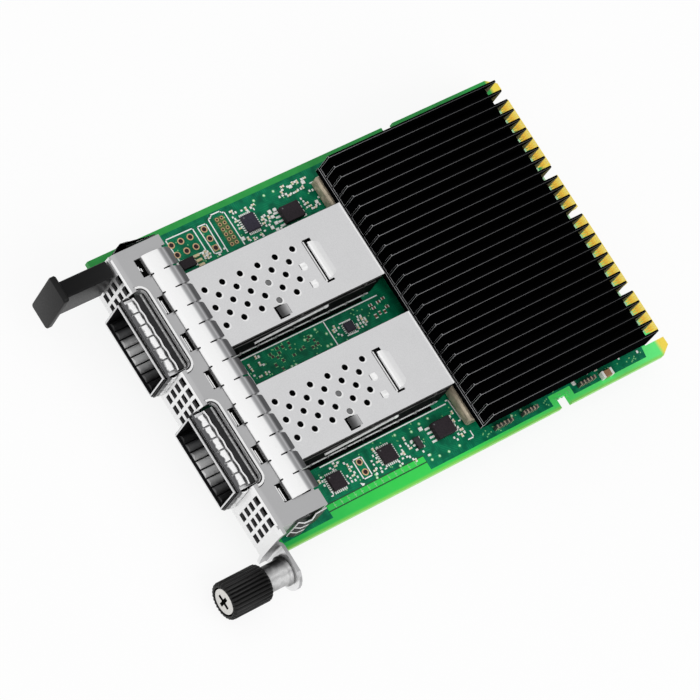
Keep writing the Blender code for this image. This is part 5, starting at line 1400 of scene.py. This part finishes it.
smallParts = {
    "tinned": (
        (-34.2, -20.4), (-34.2, -19.7), (-34, -18.2), (-33.4, -16.9), (-33.8, -15.8), (-33.4, -21), (-32.8, -20.7),
               (-31.3, -20.9),
        (-27, -20.3), (-26.9, -18.6), (-26.7, -16.9), (-30.7, -14.6), (-30.8, -13.9), (-29.7, -14.3), (-29.1, -13.5),
               (-28.5, -14.9),
        (-28.4, -14.1), (-27.6, -15.9), (-26.6, -12), (-33.2, -8.1), (-33.2, -7.2), (-33.2, -6.3), (-32.8, -5.1),
               (-32.7, -4.4),
        (-32.9, -3.1), (-32.9, -2.3), (-34.6, -5), (-34.9, -2.8), (-34.8, -0.9), (-34.4, -6.5), (-31.6, -0.7),
               (-31.5, 0.1),
        (-28, -1.2), (-27.9, -0.3), (-30.8, -3.7), (-30, -3.5), (-29.2, -3.6), (-28.4, -3.5), (-27.7, -2.5),
               (-29.4, 0.4),
        (-28.9, -32.2), (-28.8, -31), (-28.2, -31.6), (-27.4, -31), (-27.6, -32.3), (-27, -28.8), (-27.8, -27),
               (-2.6, -34.2),
        (-0.5, -34.2), (1.5, -34), (0.8, -37.6), (-0.3, -14.2), (0.7, -14.2), (-0.6, -13.3), (1.2, -13.6), (-1, -7.8),
               (-0.9, -7),
        (-0.3, -8), (0, -6.4), (0.5, -8.9), (0.6, -8), (0.7, -7.2), (1.5, -8), (1.4, -7), (27.4, -37.1), (28.3, -37.3),
               (29.3, -37.4),
        (26.5, -34), (27.1, -33.5), (25.8, -32.7), (26.1, -31.7), (26.9, -30.4), (28.3, -29.3), (29.7, -29.4),
               (29.7, -31.4),
        (30.4, -31), (31.2, -31.1), (31.2, -32.1), (31.3, -30.2), (30.9, -29.3), (29.2, -24.3), (30.1, -24.3),
               (31.1, -24.3),
        (29.1, -22.9), (31.5, -23.3), (32.3, -23.5), (32.2, -24.8), (28.3, -23.3), (27.2, -21.4), (29.1, -16.2),
               (30.1, -16.4),
        (30.8, -17), (31.8, -17.3), (32.1, -18.5), (32.8, -18.1), (31.9, -16.2), (29.2, -14.7), (29.9, -14.5),
               (29.5, -13.4),
        (32.2, -15.6), (33, -15.2), (32.5, -12), (33.8, -11.3), (29.6, -1.9), (30.4, -1.7), (31.2, -1.3), (32.6, -2.1),
               (32.9, -3.5),
        (33.6, -3), (32.8, -0.5), (28.2, -1.5), (33.9, 44.0), (33.6, 46.2), (34.5, 49.2)),
    "ceramic": (
        (-34.8, -20.7), (-33.9, -17.1), (-34.1, -15.1), (-32.2, -20.9), (-30.4, -20.9), (-27.5, -20.6), (-26.9, -19.3),
                (-27.1, -17.2),
        (-30.1, -14.9), (-30, -13.3), (-29.2, -15.2), (-32.6, -5.9), (-32.7, -3.7), (-33, -1.7), (-34.8, -3.5),
                (-34.7, -2.3),
        (-34.8, -0.2), (-35.1, -6.2), (-33.9, -7.1), (-29.3, -3.1), (-28.4, -2.7), (-27.6, -1.8), (-28.9, -31.5),
                (-28.3, -32.3),
        (-28.1, -31.1), (-27.5, -31.7), (-1.6, -37.5), (-0.5, -37.4), (-2.7, -35), (-1, -35), (1.5, -34.9),
                (1.6, -36.4),
        (-1.1, -14.3), (-0.4, -14.9), (-0.2, -7.2), (0.7, -6.5), (1.3, -9.1), (28.1, -38.1), (26.6, -32.6),
                (27.7, -30), (28.8, -30.1),
        (30.2, -30.1), (30, -23.2), (31.4, -24.9), (27.2, -22.6), (30.9, -16.5), (28.1, -14.6), (30.6, -14.4),
                (33.5, -14.8),
        (29.5, -1.4), (32, -0.9), (33.2, -1.5), (28.4, -2.1), (27.7, -0.6), (33.2, 33.2), (33.5, 34.6), (33.4, 35.9),
                (33.9, 37.0)),
    "vias": (
        (-34.9, -14.2), (-35, -11.3), (-35, -8.7), (-2.6, -18.6), (-0.6, -16.7), (2, -18.1), (2, -17.1), (-1.5, -22.2),
             (2.6, -28.4),
        (2.6, -27.3), (-1.7, -20.3), (27.4, -11.9), (35, -3.4), (35.1, -6.5), (35, -9.1), (35, -11.2), (33.8, -11),
             (33, -18.8),
        (33, -25.3), (32.3, -25.1), (26.4, -6.6), (26.6, -9.2), (26.4, -15.9), (34.4, 12.0), (34.9, 18.8),
             (34.2, 14.8), (33.6, 24.5)),
    "largePads": (
        (-28, -21.7), (-31, -12.4), (-31, -11), (-29.7, -12.4), (-28.1, -12.4), (-27.5, -13.9), (-26.5, -13),
                  (-34.3, -4.4),
        (-34, -1), (-28.6, -0.7), (27.8, -9.7), (33.2, 19.4), (34.3, 30.2)),
    "darkPairs": (
        (-1.9, -31.5), (-1.2, -31.2), (-2.5, -29.2), (-1.4, -29.3), (-0.6, -30.2), (-2.3, -27.8), (-2.4, -26),
                  (-1.4, -26.3),
        (0.5, -29.4), (0.5, -26.4), (0.1, -24.2), (-0.1, -23.4), (-1.2, -21.6), (0.8, -21.4), (0.7, -20.6),
                  (0.5, -19.8),
        (-0.5, -20.2), (2.2, -30.5), (0.8, -31.6), (-1.7, -20.9)),
    "brownPairs": (
        (-2.1, -3.4), (-1.2, -3), (-2, -1.2), (0.4, -2.3), (0.7, -3.6), (0.6, -1), (-2.3, 0.3), (-0.2, 0.1)),
}


def withTurn(key, width, depth, height, jitter=0.12, seed=7):
    # listed places with slightly different sizes and quarter turns
    dice = random.Random(seed)
    places = []
    for x, y in smallParts[key]:
        grow = 1 + dice.uniform(-jitter, jitter)
        places.append((x, y, 0.03 + height / 2, width * grow, depth * grow, height, dice.choice((0, 0, 90))))
    return places


def endCaps(places, share=0.3):
    # bright soldered ends on a part's two short sides
    caps = []
    for x, y, z, wide, deep, high, turn in places:
        step = wide * (0.5 - share / 2 + 0.06)
        dx, dy = step * math.cos(math.radians(turn)), step * math.sin(math.radians(turn))
        for sign in (-1, 1):
            caps.append((x + sign * dx, y + sign * dy, z + 0.01, wide * share, deep * 1.06, high * 1.04, turn))
    return caps


spotPiece("tinned_pads", withTurn("tinned", 0.56, 0.46, 0.12), "padTin", bevel=0.03)
ceramics = withTurn("ceramic", 0.8, 0.44, 0.3, 0.12, 11)
spotPiece("ceramic_parts", ceramics, "cream", bevel=0.03)
spotPiece("ceramic_ends", endCaps(ceramics), "padTin")
spotPiece("large_pads", withTurn("largePads", 0.95, 0.85, 0.3), "padTin", bevel=0.05)
darks = withTurn("darkPairs", 0.85, 0.62, 0.03, 0.1, 5)
spotPiece("dark_footprints", darks, "padDark")
spotPiece("dark_footprint_ends", endCaps(darks, 0.16), "inkLight")
browns = withTurn("brownPairs", 0.9, 0.62, 0.06, 0.1, 3)
spotPiece("brown_pads", browns, "padBrown")
spotPiece("brown_pad_ends", endCaps(browns, 0.24), "padTin")
spotPiece("via_rings", [(x, y, 0.05, 0.72, 0.72, 0.04) for x, y in smallParts["vias"]], "inkLight", True, 12)
spotPiece("via_centres", [(x, y, 0.056, 0.34, 0.34, 0.05) for x, y in smallParts["vias"]], "padTin", True, 10)


def fineVias(count, seed):
    # tiny plated holes strewn between the parts
    dice = random.Random(seed)
    areas = ((-35.6, -24.6, -44.0, 0.6), (-3.2, 3.1, -44.0, 0.6), (25.6, 33.0, -44.0, 0.6), (34.6, 36.3, 3.0, 50.0))
    places = []
    while len(places) < count:
        x0, x1, y0, y1 = dice.choice(areas)
        places.append((dice.uniform(x0, x1), dice.uniform(y0, y1), 0.04, 0.34, 0.34, 0.03))
    return places


spotPiece("fine_vias", fineVias(190, 21), "inkLight", True, 8)

# three bars beside the small chip on the left
spotPiece("cream_bars", [(-28.9 + 1.15 * i, -34.0, 0.3, 0.62, 1.5, 0.5) for i in range(3)], "cream", bevel=0.05)

# parts beside the heat sink: networks with bright ends, one large ceramic
networks = []
for node in ("resistor_pack_front", "resistor_pack_middle", "resistor_pack_rear"):
    low, high = nodeBox(node)
    bm = bmesh.new()
    x0, x1 = low[0], low[0] + 0.62 * (high[0] - low[0])
    addBox(bm, x0, x1, low[1] + 0.1, high[1] - 0.1, 0.1, high[2] * 0.8)
    finishPiece(node + ".shaped", bm, ["ferrite"], "card", (node,), 0.08, 1)
    count = max(3, int((high[1] - low[1]) / 0.9))
    for i in range(count):
        y = low[1] + (i + 0.5) * (high[1] - low[1]) / count
        networks.append(((x0 + x1) / 2, y, high[2] * 0.4, (x1 - x0) * 1.12, 0.36, high[2] * 0.82))
spotPiece("network_ends", networks, "can", bevel=0.03)
low, high = nodeBox("capacitor_rear")
bm = bmesh.new()
addBox(bm, low[0] + 0.06, high[0] - 0.06, low[1] + 0.3, high[1] - 0.3, 0.1, high[2] - 0.06)
finishPiece("capacitor_rear.shaped", bm, ["tan"], "card", ("capacitor_rear",), 0.08, 1)
endSpots = [((low[0] + high[0]) / 2, y, high[2] / 2 + 0.02, high[0] - low[0], 0.62,
             high[2] - 0.04) for y in (low[1] + 0.31, high[1] - 0.31)]
spotPiece("capacitor_ends", endSpots, "padTin", bevel=0.05)
print("board parts ready")
